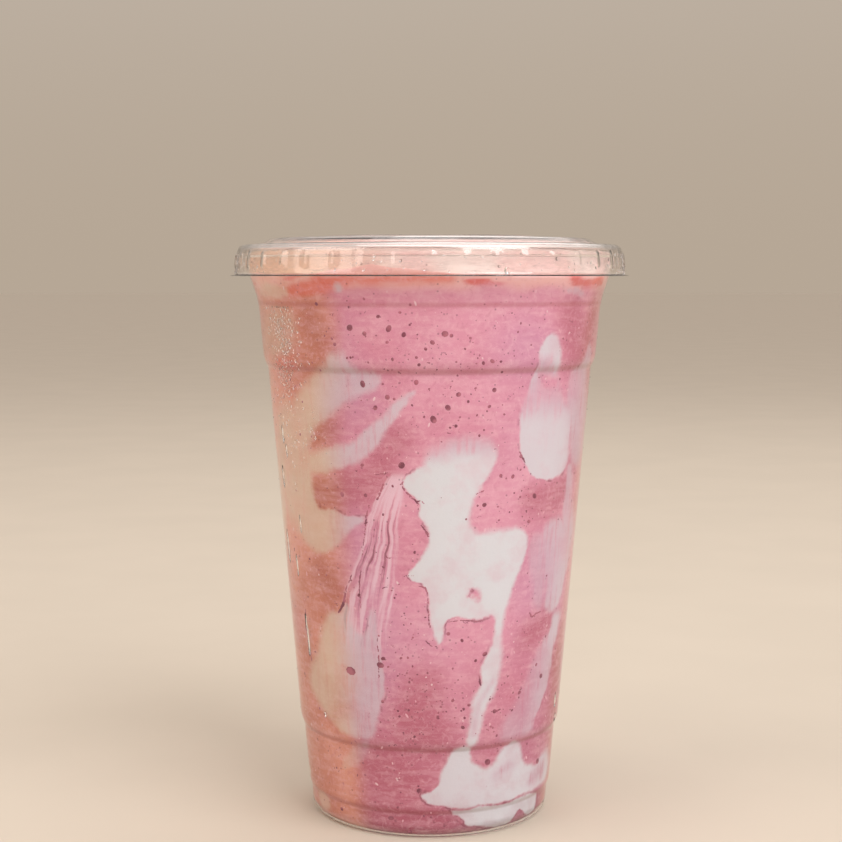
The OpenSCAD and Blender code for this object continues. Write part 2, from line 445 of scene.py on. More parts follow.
# The sheet thins towards the flange's tip
lid_thickness = np.full((len(lid_path), 1), LID_WALL)
lid_thickness[-3:, 0] = LID_WALL * np.array([0.8, 0.6, 0.3])
lid_section = np.vstack([moved(lid_path, -lid_thickness), lid_path[::-1]])
lid_section[[0, -1], 0] = 0
flange_width = round(2 * (flange_r + FLANGE_W), 1)
print("lid outline:", len(lid_path), "points, flange", flange_width, "mm across")


# %% Ribs in the lid
def lid_rib_shift(angle, r, z):
    """How far the sheet moves out and up at a place on the lid.

    Skirt ribs are 40 narrow waves, (0.5 + 0.5 cos)^6, under an eased window in height. Cone ribs
    are 144 cosine waves under a window in radius. The cross for a straw is two crossed bars."""
    skirt_wave = (0.5 + 0.5 * np.cos(np.radians(angle * SKIRT_RIBS))) ** 6
    skirt_window = ease((z - flange_z - 1.6) / 0.8) * ease((roll_z + 0.4 - z) / 1.2)
    skirt_window = skirt_window * (r > roll_mid_r)
    cone_wave = 0.5 + 0.5 * np.cos(np.radians(angle * CONE_RIBS))
    cone_window = ease((r - disc_r + 0.5) / 1.0) * ease((cone_r + 0.5 - r) / 1.0)
    offset = r * np.abs(np.sin(2 * np.radians(angle))) / 2
    cross = ease((CROSS_BAR - offset) / 0.4) * ease((CROSS_HALF + 0.2 - r) / 0.4) * CROSS_BAR
    return skirt_wave * skirt_window * SKIRT_RIB_OUT, cone_wave * cone_window * CONE_RIB_UP + cross


# %% The lid
LID_COLUMNS = 720
lid_angles = (np.arange(LID_COLUMNS) * 360 / LID_COLUMNS)[None, :]
rib_out, rib_up = lid_rib_shift(lid_angles, lid_section[:, :1], lid_section[:, 1:])
lid_rings = on_axis(lid_angles, lid_section[:, :1] + rib_out, lid_section[:, 1:] + rib_up)
lid_mesh = turned_mesh("clear_lid", lid_rings)
finish_piece("clear_lid", lid_mesh, lid_plastic, ["lid"])

# %% [markdown]
# ## Patches of cream
# Cream was run down the inside of the cup before the drink went in, so it lies against the wall
# in pours, swipes and drips. Each patch is a closed outline of listed points, joined by a smooth
# curve. For every point of the drink's surface the signed distance to each outline is worked out,
# divided by how soft the edge is there. The largest of these tells how deep in cream the point is,
# and the material turns that number into an edge, so edges stay crisp between the mesh's points.

# %% Outlines on the front
# Each place is (angle in degrees, height in mm, softness of the edge in mm). The first number of
# each patch is how white its cream is: 1 is thick, 0.4 a thin smear.
FRONT_PATCHES = {
    "pour": (1.0, [
        (0, 97, 2.2), (-3, 93.5, 0.8), (-8, 91.2, 0.3), (-9.3, 89.6, 0.3), (-8, 87.5, 0.3),
        (-5, 85.5, 0.3), (-3.6, 83.5, 0.4), (-3.8, 81.2, 0.4), (-1.3, 79, 0.5), (-1, 75, 0.6),
        (-4, 70.6, 0.5), (-7.6, 67.5, 0.4), (-7.4, 65.8, 0.3), (-3, 64.9, 0.3), (-0.7, 63, 0.3),
        (-0.2, 58, 0.4), (1, 53, 0.5), (3, 50.3, 0.5), (4.6, 52.3, 0.5), (6, 56, 0.3),
        (12, 56.3, 0.3), (19, 55.8, 0.4), (24.5, 56.8, 0.6), (26, 53, 0.7), (24.6, 48.8, 0.6),
        (21, 44.6, 0.5), (21, 40.5, 0.5), (20.5, 38.4, 0.7), (17.6, 36, 0.9), (17, 31, 0.8),
        (15.5, 24.5, 0.8), (19.5, 24, 0.8), (22, 28, 0.8), (23, 33, 0.9), (27.5, 37.5, 1.0),
        (29.6, 44, 1.1), (29.6, 52, 0.9), (31, 59, 0.8), (34.5, 65, 0.7), (38.5, 71.5, 0.6),
        (38.5, 75, 0.7), (34.5, 77.8, 1.0), (27, 77.8, 1.1), (21.5, 77.2, 1.3), (16.5, 77.5, 1.2),
        (14, 81, 1.0), (16.5, 86.5, 0.8), (19.5, 90, 0.6), (23.4, 95.8, 0.9), (20, 99.3, 1.8),
        (13, 100, 2.4), (6, 99, 2.4)]),
    "high_patch": (0.5, [
        (-17, 115.3, 0.9), (-17, 113, 0.8), (-21, 111, 1.0), (-27, 109.3, 1.2), (-32.5, 107, 1.3),
        (-38, 104, 1.4), (-44, 101.5, 1.6), (-48, 97, 1.6), (-54, 98, 3), (-58, 104, 3),
        (-52, 109, 2), (-46, 113, 1.8), (-38, 116.8, 1.6), (-33.5, 120, 1.5), (-29.5, 120.6, 1.2),
        (-26, 117.6, 1.0), (-22, 116.4, 0.9)]),
    "swipe": (0.58, [
        (-5, 111.4, 0.6), (-7.5, 108.6, 0.6), (-13, 104, 0.7), (-18.5, 98.5, 0.8), (-24, 95, 0.8),
        (-33, 92.6, 1.0), (-43, 90.9, 1.2), (-50, 91, 1.8), (-49, 95, 1.8), (-40, 96.8, 1.2),
        (-30, 98.4, 1.0), (-22, 102, 0.9), (-14.5, 107, 0.8), (-8.5, 110.6, 0.7)]),
    "left_field": (0.5, [
        (-24, 80.4, 0.5), (-30, 77.6, 0.8), (-36, 73.6, 1.0), (-44, 71, 1.2), (-52, 72, 1.6),
        (-60, 75, 2.4), (-70, 80, 4), (-77, 92, 4), (-70, 104, 4), (-58, 107, 3), (-49, 101, 2),
        (-47.5, 92, 1.2), (-47.5, 86, 1.2), (-45, 82.2, 0.6), (-38, 81.8, 0.5), (-31, 81, 0.4)]),
    "bead_field": (0.2, [
        (-50, 129.5, 2.4), (-60, 131, 2.4), (-72, 129, 4), (-76, 121, 4), (-66, 118.4, 2.4),
        (-56, 119.4, 2.4), (-50, 123, 3)]),
    "low_oval": (0.48, [
        (-37, 56.3, 0.9), (-43, 56, 1.4), (-48, 51, 1.8), (-52, 45, 2), (-58, 40.5, 2),
        (-61, 36.5, 2.2), (-55, 32, 1.8), (-47, 28.3, 1.3), (-40, 25.4, 1.0), (-32, 25, 0.9),
        (-26, 25.2, 0.9), (-22.6, 29, 0.6), (-21, 34, 0.5), (-19, 38.5, 0.5), (-19.2, 44, 0.5),
        (-20.4, 50, 0.6), (-21.5, 57, 0.8), (-24, 57.5, 0.9), (-25, 53, 1.0), (-28.5, 51.3, 1.0),
        (-32, 54, 0.9), (-33, 58, 0.7), (-35.5, 58.5, 0.6)]),
    "drop": (0.72, [
        (43, 124.6, 0.8), (40, 123.4, 0.6), (37.6, 120.5, 0.5), (37.8, 117, 0.5), (36, 114, 0.5),
        (35.2, 110.8, 0.8), (33, 107.5, 0.7), (31.8, 102.5, 0.5), (32.6, 97.8, 0.4),
        (35.5, 93.5, 0.4), (39.5, 90, 0.3), (44.5, 88.9, 0.3), (51, 88.8, 0.4), (57.5, 90.2, 0.5),
        (60, 93, 0.6), (61, 99, 1.4), (60.5, 105, 2.6), (54, 108.5, 2.6), (51, 110.5, 2),
        (48.6, 113, 1.2), (48.2, 118, 1.0), (46.6, 122.4, 0.9)]),
    # The side drop's cream is dimmed as painted shade at the right edge
    "side_drop": (0.4, [
        (55, 112.5, 1.2), (57.5, 115.6, 1.0), (62, 116.4, 1.2), (68, 121.5, 1.4), (71, 118, 1.6),
        (74, 110, 3), (82, 100, 4), (76, 92, 3), (66, 91.5, 1.4), (62, 94, 1.0), (60, 100, 2),
        (56, 106, 2)]),
    "edge_run": (0.42, [
        (59.5, 91, 0.9), (60.5, 84, 0.9), (59.5, 79.5, 1.2), (62, 73, 2), (70, 68, 3), (76, 74, 4),
        (68, 82, 2), (64.5, 91, 1.2)]),
    "wisp": (0.55, [
        (46, 74, 1.2), (47.5, 77, 1.4), (53, 78.6, 1.5), (58.5, 78, 1.6), (64, 76, 2.5),
        (74, 74, 4), (71, 66, 2), (67.5, 62, 1.0), (65.5, 58.5, 0.9), (62, 55.3, 0.8),
        (56, 54.8, 0.8), (51.5, 56.5, 1.0), (51.5, 62, 1.6), (48, 67, 1.6)]),
    "wisp_veil": (0.2, [
        (39.8, 72.5, 0.8), (42, 65, 1.0), (44, 58.5, 1.4), (49, 57, 1.6), (52, 66, 3), (48, 74, 2),
        (43, 76, 1.4)]),
    "leg": (0.6, [
        (60, 54, 1.4), (67, 53, 1.6), (64.5, 48.5, 0.9), (62, 44.5, 0.8), (61.4, 40.5, 0.7),
        (59, 36, 0.6), (54.5, 31, 0.5), (51, 28, 0.7), (49, 25, 1.0), (41, 25, 1.6), (37, 28, 2),
        (41, 34, 2), (46, 38.5, 2), (50, 43.5, 1.4), (52.5, 48, 1.1), (57, 50, 0.9)]),
    "leg_veil": (0.15, [
        (31, 24.6, 1.2), (33, 29.5, 1.5), (38, 33, 1.6), (45, 40.5, 1.8), (50, 46, 1.6),
        (53, 40, 3), (44, 26, 2)]),
    "foot": (0.8, [
        (-4, 11.3, 0.4), (0, 12.5, 0.4), (3.4, 14.2, 0.5), (5.3, 18, 0.6), (8.5, 21.6, 0.6),
        (12.5, 23.6, 0.6), (17, 23.2, 0.6), (19, 19.8, 0.7), (24, 17.6, 0.9), (28.5, 18.2, 1.0),
        (32.5, 21.3, 0.8), (37.5, 23.4, 0.7), (43, 22.4, 0.8), (45.5, 18, 1.0), (51, 15.6, 0.9),
        (58, 15.2, 1.0), (63, 17, 1.2), (70, 16, 2.4), (74, 11, 2.4), (66, 8.6, 1.0),
        (50, 8.1, 0.4), (30, 7.9, 0.4), (12, 7.9, 0.4), (1, 9, 0.4)]),
    "foot_band": (0.85, [
        (11, 7.3, 0.3), (12.8, 5.9, 0.3), (15.6, 4.9, 0.3), (17.6, 3.0, 0.3), (22, 2.6, 0.4),
        (26, 2.2, 0.4), (29, 1.2, 0.4), (35, 0.7, 0.4), (41.5, 1.0, 0.4), (44, 3.3, 0.3),
        (47.5, 4.0, 0.3), (51.5, 3.1, 0.3), (55.5, 1.8, 0.4), (60, 1.9, 0.6), (61.5, 4.5, 0.7),
        (60, 7.2, 0.5), (36, 7.4, 0.3)]),
    "drip": (0.15, [
        (-27, 24.6, 0.9), (-29.5, 20.5, 0.9), (-33, 17.6, 0.8), (-38, 16.7, 0.7),
        (-42.5, 15.8, 0.6), (-41.5, 18.4, 0.7), (-38, 20.2, 0.8), (-34.5, 23, 1.2)]),
    "low_dab": (0.3, [
        (-57, 6.6, 0.8), (-56.5, 3, 0.8), (-64, 2.4, 1.2), (-68, 5, 1.5), (-63, 6.8, 1.0)]),
    "rim_dab": (0.35, [
        (-50, 135, 1.0), (-53, 133.3, 0.8), (-66, 133, 1.0), (-72, 135, 1.5), (-62, 136.8, 1.0)]),
    "rim_dot": (0.5, [
        (-27.6, 136.3, 0.7), (-27.7, 135.1, 0.7), (-28.8, 134.6, 0.7), (-30, 135.1, 0.7),
        (-29.9, 136.5, 0.7), (-28.8, 137, 0.7)]),
    "rim_dash": (0.3, [
        (45, 136, 0.6), (49, 134.7, 0.6), (57, 133.4, 0.6), (58, 134.2, 0.6), (52, 135.6, 0.6)]),
}

# Pink shows through the cream in a few places, drawn as strokes: (angle, height, half-width)
PINK_HOLES = [
    (1.0, [(16.3, 62.4, 1.2), (18, 61.6, 1.0)]),
    (0.9, [(40, 114.4, 0.7), (42.5, 113.2, 1.4), (46.5, 112.6, 1.1)]),
    (1.2, [(-38, 42.5, 0.1), (-36, 42, 0.2)]),
]
# The pour, the drop and the foot are thinner, and rosier, in some parts of them
THIN_PARTS = [
    (6.0, [(2, 98, 2.5), (10, 99, 3.0), (19, 99, 2.4)]),
    (9.0, [(33, 109, 2.0), (44, 110, 3.0), (58, 111, 2.4)]),
    (4.0, [(41, 117, 1.6), (43, 112, 2.6), (47, 112, 1.6)]),
    (5.0, [(26, 40, 0.3), (20, 34, 0.3), (18.5, 27, 0.3)]),
    (6.0, [(54, 11.5, 0.6), (64, 12.5, 1.4)]), (5.0, [(44, 37, 2.0), (42, 29, 2.4)]),
    (6.0, [(-34, 33, 1.0), (-44, 30, 1.0)]), (6.0, [(31, 15, 0.3), (38, 17, 0.6)]),
]
# Where the pink is deeper, partly painted shade at the foot and the right edge, and where orange
# fruit shows: (softness, places)
DEEP_AND_SHADED_PARTS = [
    (7, [(-41, 128, 2), (-37, 123, 1.5)]), (8, [(-46, 66, 2), (-40, 62, 2)]),
    (6, [(-44, 85, 2), (-34, 87, 2)]), (6, [(-44, 100, 1), (-36, 101.5, 1)]),
    (9, [(52, 129, 3), (60, 121, 4), (68, 127, 3)]), (7, [(40, 84, 2), (50, 84, 3), (58, 86, 2)]),
    (9, [(-24, 20, 3), (-15, 15, 3.5), (-9, 15, 1.5)]),
    (7, [(-26, 5, 2), (-10, 4, 3), (6, 3.5, 1.5)]),
    (8, [(-12, 100, 2), (-20, 90, 2), (-28, 88, 3)]), (8, [(-2, 40, 2), (-6, 30, 4), (2, 26, 3)]),
    (8, [(44, 50, 2), (54, 53, 2)]), (10, [(66, 42, 3), (70, 28, 4)]),
    (8, [(63, 104, 1), (66, 92, 2)]), (10, [(110, 30, 5), (130, 18, 4)]),
    (10, [(170, 90, 5), (185, 70, 4)]), (10, [(230, 34, 5), (250, 110, 6)]),
]
ORANGE_PARTS = [
    (1.8, [(-50, 134.4, 0.6), (-42, 135.3, 1.3), (-34, 136.6, 1.5), (-26, 137.4, 0.8)]),
    (2.6, [(-24, 137.6, 0.2), (-8, 137.8, 0.2), (6, 137.6, 0.1)]),
    (3.0, [(-62, 117.4, 0.6), (-52, 117.2, 0.3)]), (2.4, [(62, 137.2, 0.1), (70, 137.2, 0.3)]),
    (2.4, [(110, 136.8, 0.6), (140, 137.2, 0.3)]), (2.4, [(196, 136.8, 0.4), (226, 136.6, 0.8)]),
]
print("front patches:", len(FRONT_PATCHES), "and strokes:",
      sum(len(parts) for parts in (PINK_HOLES, THIN_PARTS, DEEP_AND_SHADED_PARTS, ORANGE_PARTS)))


# %% Distances to outlines and strokes
def smooth_curve(places, closed=False, bits=6):
    """Points along a Catmull-Rom curve through the places. Further numbers at each ride along.

    From b to c, with a before and d after, it is (2b + (c - a)t + (2a - 5b + 4c - d)t^2 +
    (3b - a - 3c + d)t^3) / 2. The third number, a width or a softness, is kept from 0.1 up."""
    p = np.asarray(places, float)
    ends = (p[-1:], p[:2]) if closed else (2 * p[:1] - p[1:2], 2 * p[-1:] - p[-2:-1])
    p = np.vstack([ends[0], p, ends[1]])
    t = np.linspace(0, 1, bits, endpoint=False)[:, None]
    spans = [0.5 * (2 * b + (c - a) * t + (2 * a - 5 * b + 4 * c - d) * t ** 2
                    + (3 * b - a - 3 * c + d) * t ** 3)
             for a, b, c, d in zip(p[:-3], p[1:-2], p[2:-1], p[3:])]
    curve = np.vstack(spans + [p[-2:-1]])
    curve[:, 2] = np.maximum(curve[:, 2], 0.1)
    return curve


def nearby(angle, height, curve, reach):
    """Which points lie within a reach in mm of a curve's box, and their angles, unwrapped.

    A millimetre is under 1.9 degrees everywhere on the wall."""
    middle = curve[:, 0].mean()
    turn = (angle - middle + 180) % 360 - 180
    half = np.abs(curve[:, 0] - middle).max() + reach * 1.9
    level = (height > curve[:, 1].min() - reach) & (height < curve[:, 1].max() + reach)
    return level & (np.abs(turn) < half), turn + middle


def span_gap(angle, height, radius, start, end):
    """Distance in mm over the wall from points to the span from start to end, and where along it.

    With x = radians(angle) * radius, the share is (p - start) . (end - start) / |end - start|^2,
    kept from 0 to 1."""
    across, up = np.radians(angle - start[0]) * radius, height - start[1]
    run, rise = np.radians(end[0] - start[0]) * radius, end[1] - start[1]
    length_2 = np.maximum(run ** 2 + rise ** 2, 1e-6)
    share = np.clip((across * run + up * rise) / length_2, 0, 1)
    return np.hypot(across - share * run, up - share * rise), share


# Depths are kept between the first two, and points further off than the third are left out
FAR_OUT, FAR_IN, REACH = -9.0, 30.0, 9.0


def outline_depth(angle, height, radius, places):
    """How deep each point is inside a closed outline, in softnesses, and the softness in mm.

    The distance is the least over the outline's short spans, its sign is + where a line along the
    angle crosses the outline an odd number of times, and the softness is the nearest span's."""
    curve = smooth_curve(places, closed=True)
    near, turn = nearby(angle, height, curve, REACH)
    a, z, r = turn[near], height[near], radius[near]
    best, soft, inside = np.full(a.shape, 99.0), np.ones(a.shape), np.zeros(a.shape, bool)
    for start, end in zip(curve[:-1], curve[1:]):
        gap, share = span_gap(a, z, r, start, end)
        soft = np.where(gap < best, start[2] + share * (end[2] - start[2]), soft)
        best = np.minimum(best, gap)
        rise = end[1] - start[1]
        if rise:
            crossing = (start[1] > z) != (end[1] > z)
            inside ^= crossing & (a < start[0] + (end[0] - start[0]) * (z - start[1]) / rise)
    depth, softness = np.full(angle.shape, FAR_OUT), np.ones(angle.shape)
    depth[near] = np.where(inside, best, -best) / soft
    softness[near] = soft
    return np.clip(depth, FAR_OUT, FAR_IN), softness


def stroke_depth(angle, height, radius, places):
    """How deep in mm each point is inside a stroke: a chain of discs that change size evenly.

    The value is the largest over short spans of (half-width - distance) at the nearest place."""
    curve = smooth_curve(places)
    near, turn = nearby(angle, height, curve, curve[:, 2].max() + REACH)
    a, z, r = turn[near], height[near], radius[near]
    best = np.full(a.shape, FAR_OUT)
    for start, end in zip(curve[:-1], curve[1:]):
        gap, share = span_gap(a, z, r, start, end)
        best = np.maximum(best, start[2] + share * (end[2] - start[2]) - gap)
    depth = np.full(angle.shape, FAR_OUT)
    depth[near] = best
    return depth


# %% [markdown]
# The rest of the way round is poured in the same manner. It takes the same outlines again,
# mirrored, turned and moved up or down, so no two places look alike, and a few slanting swipes
# from a seeded random generator, so each run is the same.

# %% Patches on the back
# Each: an outline's name, twice the angle it is mirrored about, and its move up in mm
BACK_PATCHES = (
    ("pour", 172, 12), ("swipe", 178, -40), ("high_patch", 196, -58), ("low_oval", 178, 52),
    ("drop", 182, -46), ("leg", 262, 2), ("foot", 158, 0), ("foot_band", 266, 0), ("wisp", 306, 38),
    ("side_drop", 346, -26), ("foot", 280, -1), ("edge_run", 160, 30), ("wisp_veil", 262, 20),
    ("drip", 70, 62), ("drop", 296, -34),
)
SWIPE_SEED = 21


def mirrored(places, turn, up):
    """An outline with each angle a turned into (turn - a) and each height moved up."""
    p = np.asarray(places, float)
    return np.stack([turn - p[:, 0], p[:, 1] + up, p[:, 2]], axis=1)


def back_swipes(seed):
    """Random slanting swipes for angles 90 to 285, each as (whiteness, softness in mm, places)."""
    rng = np.random.default_rng(seed)
    made = []
    for middle in np.linspace(92, 282, 7):
        a, z = middle + rng.uniform(-6, 6), rng.uniform(24, 124)
        run, rise, wide = rng.uniform(14, 28), rng.uniform(-14, 16), rng.uniform(1.0, 2.6)
        made.append((rng.uniform(0.3, 0.6), rng.uniform(0.8, 1.8), [
            (a, z, 0.3), (a + run * 0.3, z + rise * 0.45, wide),
            (a + run * 0.7, z + rise * 0.8, wide * 0.9), (a + run, z + rise, 0.3)]))
    return made


print("back patches:", len(BACK_PATCHES), "and swipes:", len(back_swipes(SWIPE_SEED)))

# %% [markdown]
# Where a spoon or a brush dragged cream down, it left a fan of fine streaks. A fan is held
# between two curves, its right and left edges. Across it a number grows from 0 to 1, and the
# material draws streaks of equal number, so they all run the way the fan runs and bunch where it
# narrows.

# %% Fans
# Each edge of the front's fan as angles at set heights in mm, from the bottom up
FAN_HEIGHTS = [45, 52, 57, 62, 66, 70, 75, 80, 86, 91, 93]
FAN_RIGHT = [-18.4, -16.6, -15, -13.6, -13, -12.4, -12, -11.4, -9.6, -9, -9]
FAN_LEFT = [-38, -37, -36, -34, -31, -28, -25, -23, -19, -14.5, -12]
# The other fans: how far each is turned and moved up from that one, and -1 where it is mirrored
BACK_FANS = ((118.0, 8.0, 1.0), (212.0, 24.0, -1.0), (264.0, -16.0, 1.0))


def fan_numbers(angle, height, shift_angle=0.0, shift_up=0.0, lean=1.0):
    """The number across a fan, (right edge - angle) / width, and how much fan there is, 0 to 1."""
    level = height - shift_up
    right, left = (np.interp(level, FAN_HEIGHTS, edge) for edge in (FAN_RIGHT, FAN_LEFT))
    turn = ((angle - shift_angle + 180) % 360 - 180) * lean
    number = (right - turn) / (right - left)
    amount = ease((number + 0.06) / 0.1) * ease((1.04 - number) / 0.1)
    return number, amount * ease((level - 44) / 8) * ease((92.5 - level) / 2)


# %% [markdown]
# ## The drink
# Its surface follows the inside of the cup and reaches a little way into the wall, so no air
# shows between them. The grid is about half a millimetre wide and a little taller, finer at the
# steps. Its top is left uneven, as a blended drink's froth is.

# %% The drink's surface
REACH_IN = 0.15
DRINK_COLUMNS = 480
# The mean level, how low and high the froth's edge may go, and where rings start to follow it
LEVEL, FROTH_LOW, FROTH_HIGH, SIDE_TOP = 139.4, 138.9, 142.8, 136.0
# The froth's edge rises over some degrees round this angle, and the sides round in at the top
CREST_AT, CREST_WIDTH, CREST_H, EDGE_ROUND = -17, 14, 2.2, 0.9
drink_angle = (np.arange(DRINK_COLUMNS) * 360 / DRINK_COLUMNS)[None, :]
signed_angle = (drink_angle + 180) % 360 - 180
unit = on_axis(drink_angle, 30.0, 0.0)
froth_edge = LEVEL + 1.0 * lattice_noise(unit, 9.0, 3) + 0.5 * lattice_noise(unit, 3.0, 4)
froth_edge = froth_edge + CREST_H * np.exp(-((signed_angle - CREST_AT) / CREST_WIDTH) ** 2)
froth_edge = np.clip(froth_edge, FROTH_LOW, FROTH_HIGH)
fixed_z = heights_with_steps(CORNER_R, SIDE_TOP, 0.86, 0.3)
last_share = (np.arange(1, 9) / 8)[:, None]
side_z = np.vstack([np.repeat(fixed_z[:, None], DRINK_COLUMNS, axis=1),
                    SIDE_TOP + last_share * (froth_edge - SIDE_TOP)])
side_r = cup_radius(side_z) - (WALL - REACH_IN)
side_r = side_r - EDGE_ROUND * ease((side_z - froth_edge + EDGE_ROUND) / EDGE_ROUND) ** 2
bottom_r = np.array([0, 10, corner_r - RING_W - PUSH_SLOPE, corner_r - RING_W, corner_r])[:, None]
bottom_z = np.array([PUSH_UP, PUSH_UP, PUSH_UP, 0.0, 0.0])[:, None] + WALL - REACH_IN
bottom_rings = on_axis(drink_angle, bottom_r, bottom_z)
side_rings = on_axis(drink_angle, side_r, side_z)
top_share = np.linspace(0.985, 0, 16)[:, None] ** 0.9
top_r = top_share * side_r[-1:]
top_points = on_axis(drink_angle, top_r, 0.0)
lumps = 1.1 * lattice_noise(top_points, 13.0, 5) + 0.5 * lattice_noise(top_points, 5.0, 6)
top_z = LEVEL - 0.2 + lumps * ease(top_share * 8) + (froth_edge - LEVEL + 0.2) * top_share ** 8
top_rings = on_axis(drink_angle, top_r, top_z)
drink_rings = np.concatenate([bottom_rings, side_rings, top_rings])
drink_mesh = turned_mesh("smoothie_drink", drink_rings)
print("rings of the drink:", len(drink_rings))


# %% How deep in cream a place is
def cream_at(angle, height, radius):
    """Depth in softnesses, softness in mm and whiteness of the cream at places on the wall.

    The deepest layer gives depth and softness. Whiteness is the mean over the layers, weighted by
    ease((depth + 3) / 6), so it blends where layers overlap."""
    outlines = list(FRONT_PATCHES.values())
    for name, turn, up in BACK_PATCHES:
        white, places = FRONT_PATCHES[name]
        outlines.append((white, mirrored(places, turn, up)))
    layers = [(*outline_depth(angle, height, radius, places), white) for white, places in outlines]
    for white, soft, places in back_swipes(SWIPE_SEED):
        depth = stroke_depth(angle, height, radius, places) / soft
        layers.append((depth, np.full(angle.shape, soft), white))
    depths, softs = (np.stack([layer[i] for layer in layers]) for i in range(2))
    deepest = depths.argmax(axis=0)[None]
    depth, softness = (np.take_along_axis(values, deepest, axis=0)[0] for values in (depths, softs))
    share = ease((depths + 3) / 6) + 1e-6
    whites = np.array([layer[2] for layer in layers])[:, None]
    white = (share * whites).sum(axis=0) / share.sum(axis=0)
    for soft, places in PINK_HOLES:
        depth = np.minimum(depth, -stroke_depth(angle, height, radius, places) / soft)
    for soft, places in THIN_PARTS:
        white = white * (1 - 0.5 * ease(stroke_depth(angle, height, radius, places) / soft + 0.6))
    return depth, softness, white


# %% Numbers for every point of the drink
flat = np.empty(len(drink_mesh.vertices) * 3)
drink_mesh.vertices.foreach_get("co", flat)
spots = flat.reshape(-1, 3) / MM
spot_r = np.maximum(np.hypot(spots[:, 0], spots[:, 1]), 1.0)
spot_angle = np.degrees(np.arctan2(spots[:, 0], -spots[:, 1]))
spot_z = spots[:, 2]
# A slight wander of the places makes every outline uneven without changing where patches lie
at_angle = spot_angle + 0.55 * lattice_noise(spots, 3.4, 11) + 0.3 * lattice_noise(spots, 1.5, 12)
at_z = spot_z + 0.45 * lattice_noise(spots, 3.0, 13) + 0.25 * lattice_noise(spots, 1.4, 14)

depth, edge_soft, whiteness = cream_at(at_angle, at_z, spot_r)


def soft_places(parts):
    """The largest of several strokes, each ease(depth / softness + 0.75), so it fades outwards."""
    amount = np.zeros(len(spots))
    for soft, places in parts:
        inside = stroke_depth(at_angle, at_z, spot_r, places) / soft
        amount = np.maximum(amount, ease(inside + 0.75))
    return amount


deep, orange = soft_places(DEEP_AND_SHADED_PARTS), soft_places(ORANGE_PARTS)
whiteness = whiteness * (0.93 + 0.07 * lattice_noise(spots, 9.0, 15))

fan_number, fan_amount = fan_numbers(at_angle, spot_z)
for shift_angle, shift_up, lean in BACK_FANS:
    number, amount = fan_numbers(at_angle, spot_z, shift_angle, shift_up, lean)
    fan_number = np.where(amount > fan_amount, number, fan_number)
    fan_amount = np.maximum(amount, fan_amount)

# Painted warm side light and shade: the drink is warmer at the left, a little warmer at the right,
# and less so round the back
warm = ease((-26 - spot_angle + 4 * lattice_noise(spots, 14.0, 31)) / 14)
warm = warm * ease((spot_angle + 200) / 60)
warm = np.maximum(warm, 0.5 * ease((spot_angle - 60 + 5 * lattice_noise(spots, 20.0, 32)) / 14))
fade_round = 1 - 0.85 * ease((np.abs(spot_angle) + 22 * lattice_noise(spots, 17.0, 34) - 74) / 30)
warm = warm * fade_round
# The cream takes the same painted warm side light and shade at the left
warm_cream = ease((-28 - spot_angle + 3 * lattice_noise(spots, 12.0, 36)) / 18) * fade_round
rim_band = ease((spot_z - 134.6 - 1.0 * lattice_noise(spots, 7.0, 33)) / 2.6)

attributes = {
    "cream_depth": depth, "cream_soft": edge_soft, "whiteness": whiteness, "warm": warm,
    "fan_number": fan_number, "fan_amount": fan_amount, "warm_cream": warm_cream,
    "rim_band": rim_band, "deep": deep, "orange": orange}
for name, values in attributes.items():
    layer = drink_mesh.attributes.new(name, "FLOAT", "POINT")
    layer.data.foreach_set("value", values.astype(np.float32))
print("share of the drink in cream:", round(float((depth > 0).mean()), 3))

# %% [markdown]
# ## Shared effect: painted shade at the steps
# At each step of the wall the drink follows the step in the sheet, and the shade there is painted
# into its colour as a thin dark line all the way round. The group takes a height and gives a mask
# that is 1 on the lines.

# %% The painted step shade group
# Each line lies a little above the start of its step, and the last is where the flare begins
STEP_SHADE_HEIGHTS = [start + up for (start, _, _), up in zip(STEPS, (0.5, 0.6, 0.9))] + [neck_z + 0.5]
step_shade_lines, given, mask = group("step_shade_lines", {"Height mm": 0.0, "Half width mm": 0.5}, "Mask")
step_shades = 0.0
for line_z in STEP_SHADE_HEIGHTS:
    gap = math_node(step_shade_lines, "SUBTRACT", given["Height mm"], line_z)
    gap = math_node(step_shade_lines, "ABSOLUTE", gap)
    step_shade = ramp(step_shade_lines, math_node(step_shade_lines, "DIVIDE", gap, given["Half width mm"]), 1.0, 0.1)
    step_shades = math_node(step_shade_lines, "MAXIMUM", step_shades, step_shade)
step_shade_lines.links.new(step_shades, mask)
print("step lines at heights in mm:", [round(float(z), 1) for z in STEP_SHADE_HEIGHTS])

# %% [markdown]
# ## The drink's finish
# Strawberry and milk blend to a soft pink that is never even: mauve in places, darker towards the
# bottom as painted shade, and salmon at the left and a little at the right as painted warm side
# light. The cream is not pure white, because it is thin at its edges and pink shows through. Fine
# grain and pinholes give the froth its texture.

# %% Colours of the drink
# Deep rose is the drink's deeper pink and also painted shade towards the bottom
PINK, ROSE, DEEP_ROSE_AND_SHADE = srgb(222, 158, 178), srgb(214, 141, 163), srgb(186, 98, 119)
MAUVE, PALE_PINK, BRUSHED = srgb(204, 144, 173), srgb(238, 198, 206), srgb(232, 203, 214)
# Salmon, terracotta and brown rose paint warm side light on the drink
SIDE_LIT_SALMON, SIDE_LIT_TERRACOTTA, SIDE_LIT_BROWN_ROSE = srgb(224, 160, 142), srgb(199, 125, 104), srgb(182, 104, 88)
RIM_RED, RIM_PEACH = srgb(222, 104, 84), srgb(240, 196, 184)
# The seam colour is a dark of the drink and also painted shade at the foot
# The two line colours are painted shade at the steps, on pink and on cream
SEAM_AND_SHADE, STEP_SHADE, CREAM_STEP_SHADE = srgb(126, 58, 76), srgb(172, 80, 84), srgb(170, 148, 132)
# The beige cream paints the same warm side light on the cream
CREAM, THIN_CREAM, SIDE_LIT_CREAM = srgb(219, 217, 220), srgb(205, 183, 196), srgb(220, 203, 184)
print("pink as a linear colour:", [round(c, 3) for c in PINK])


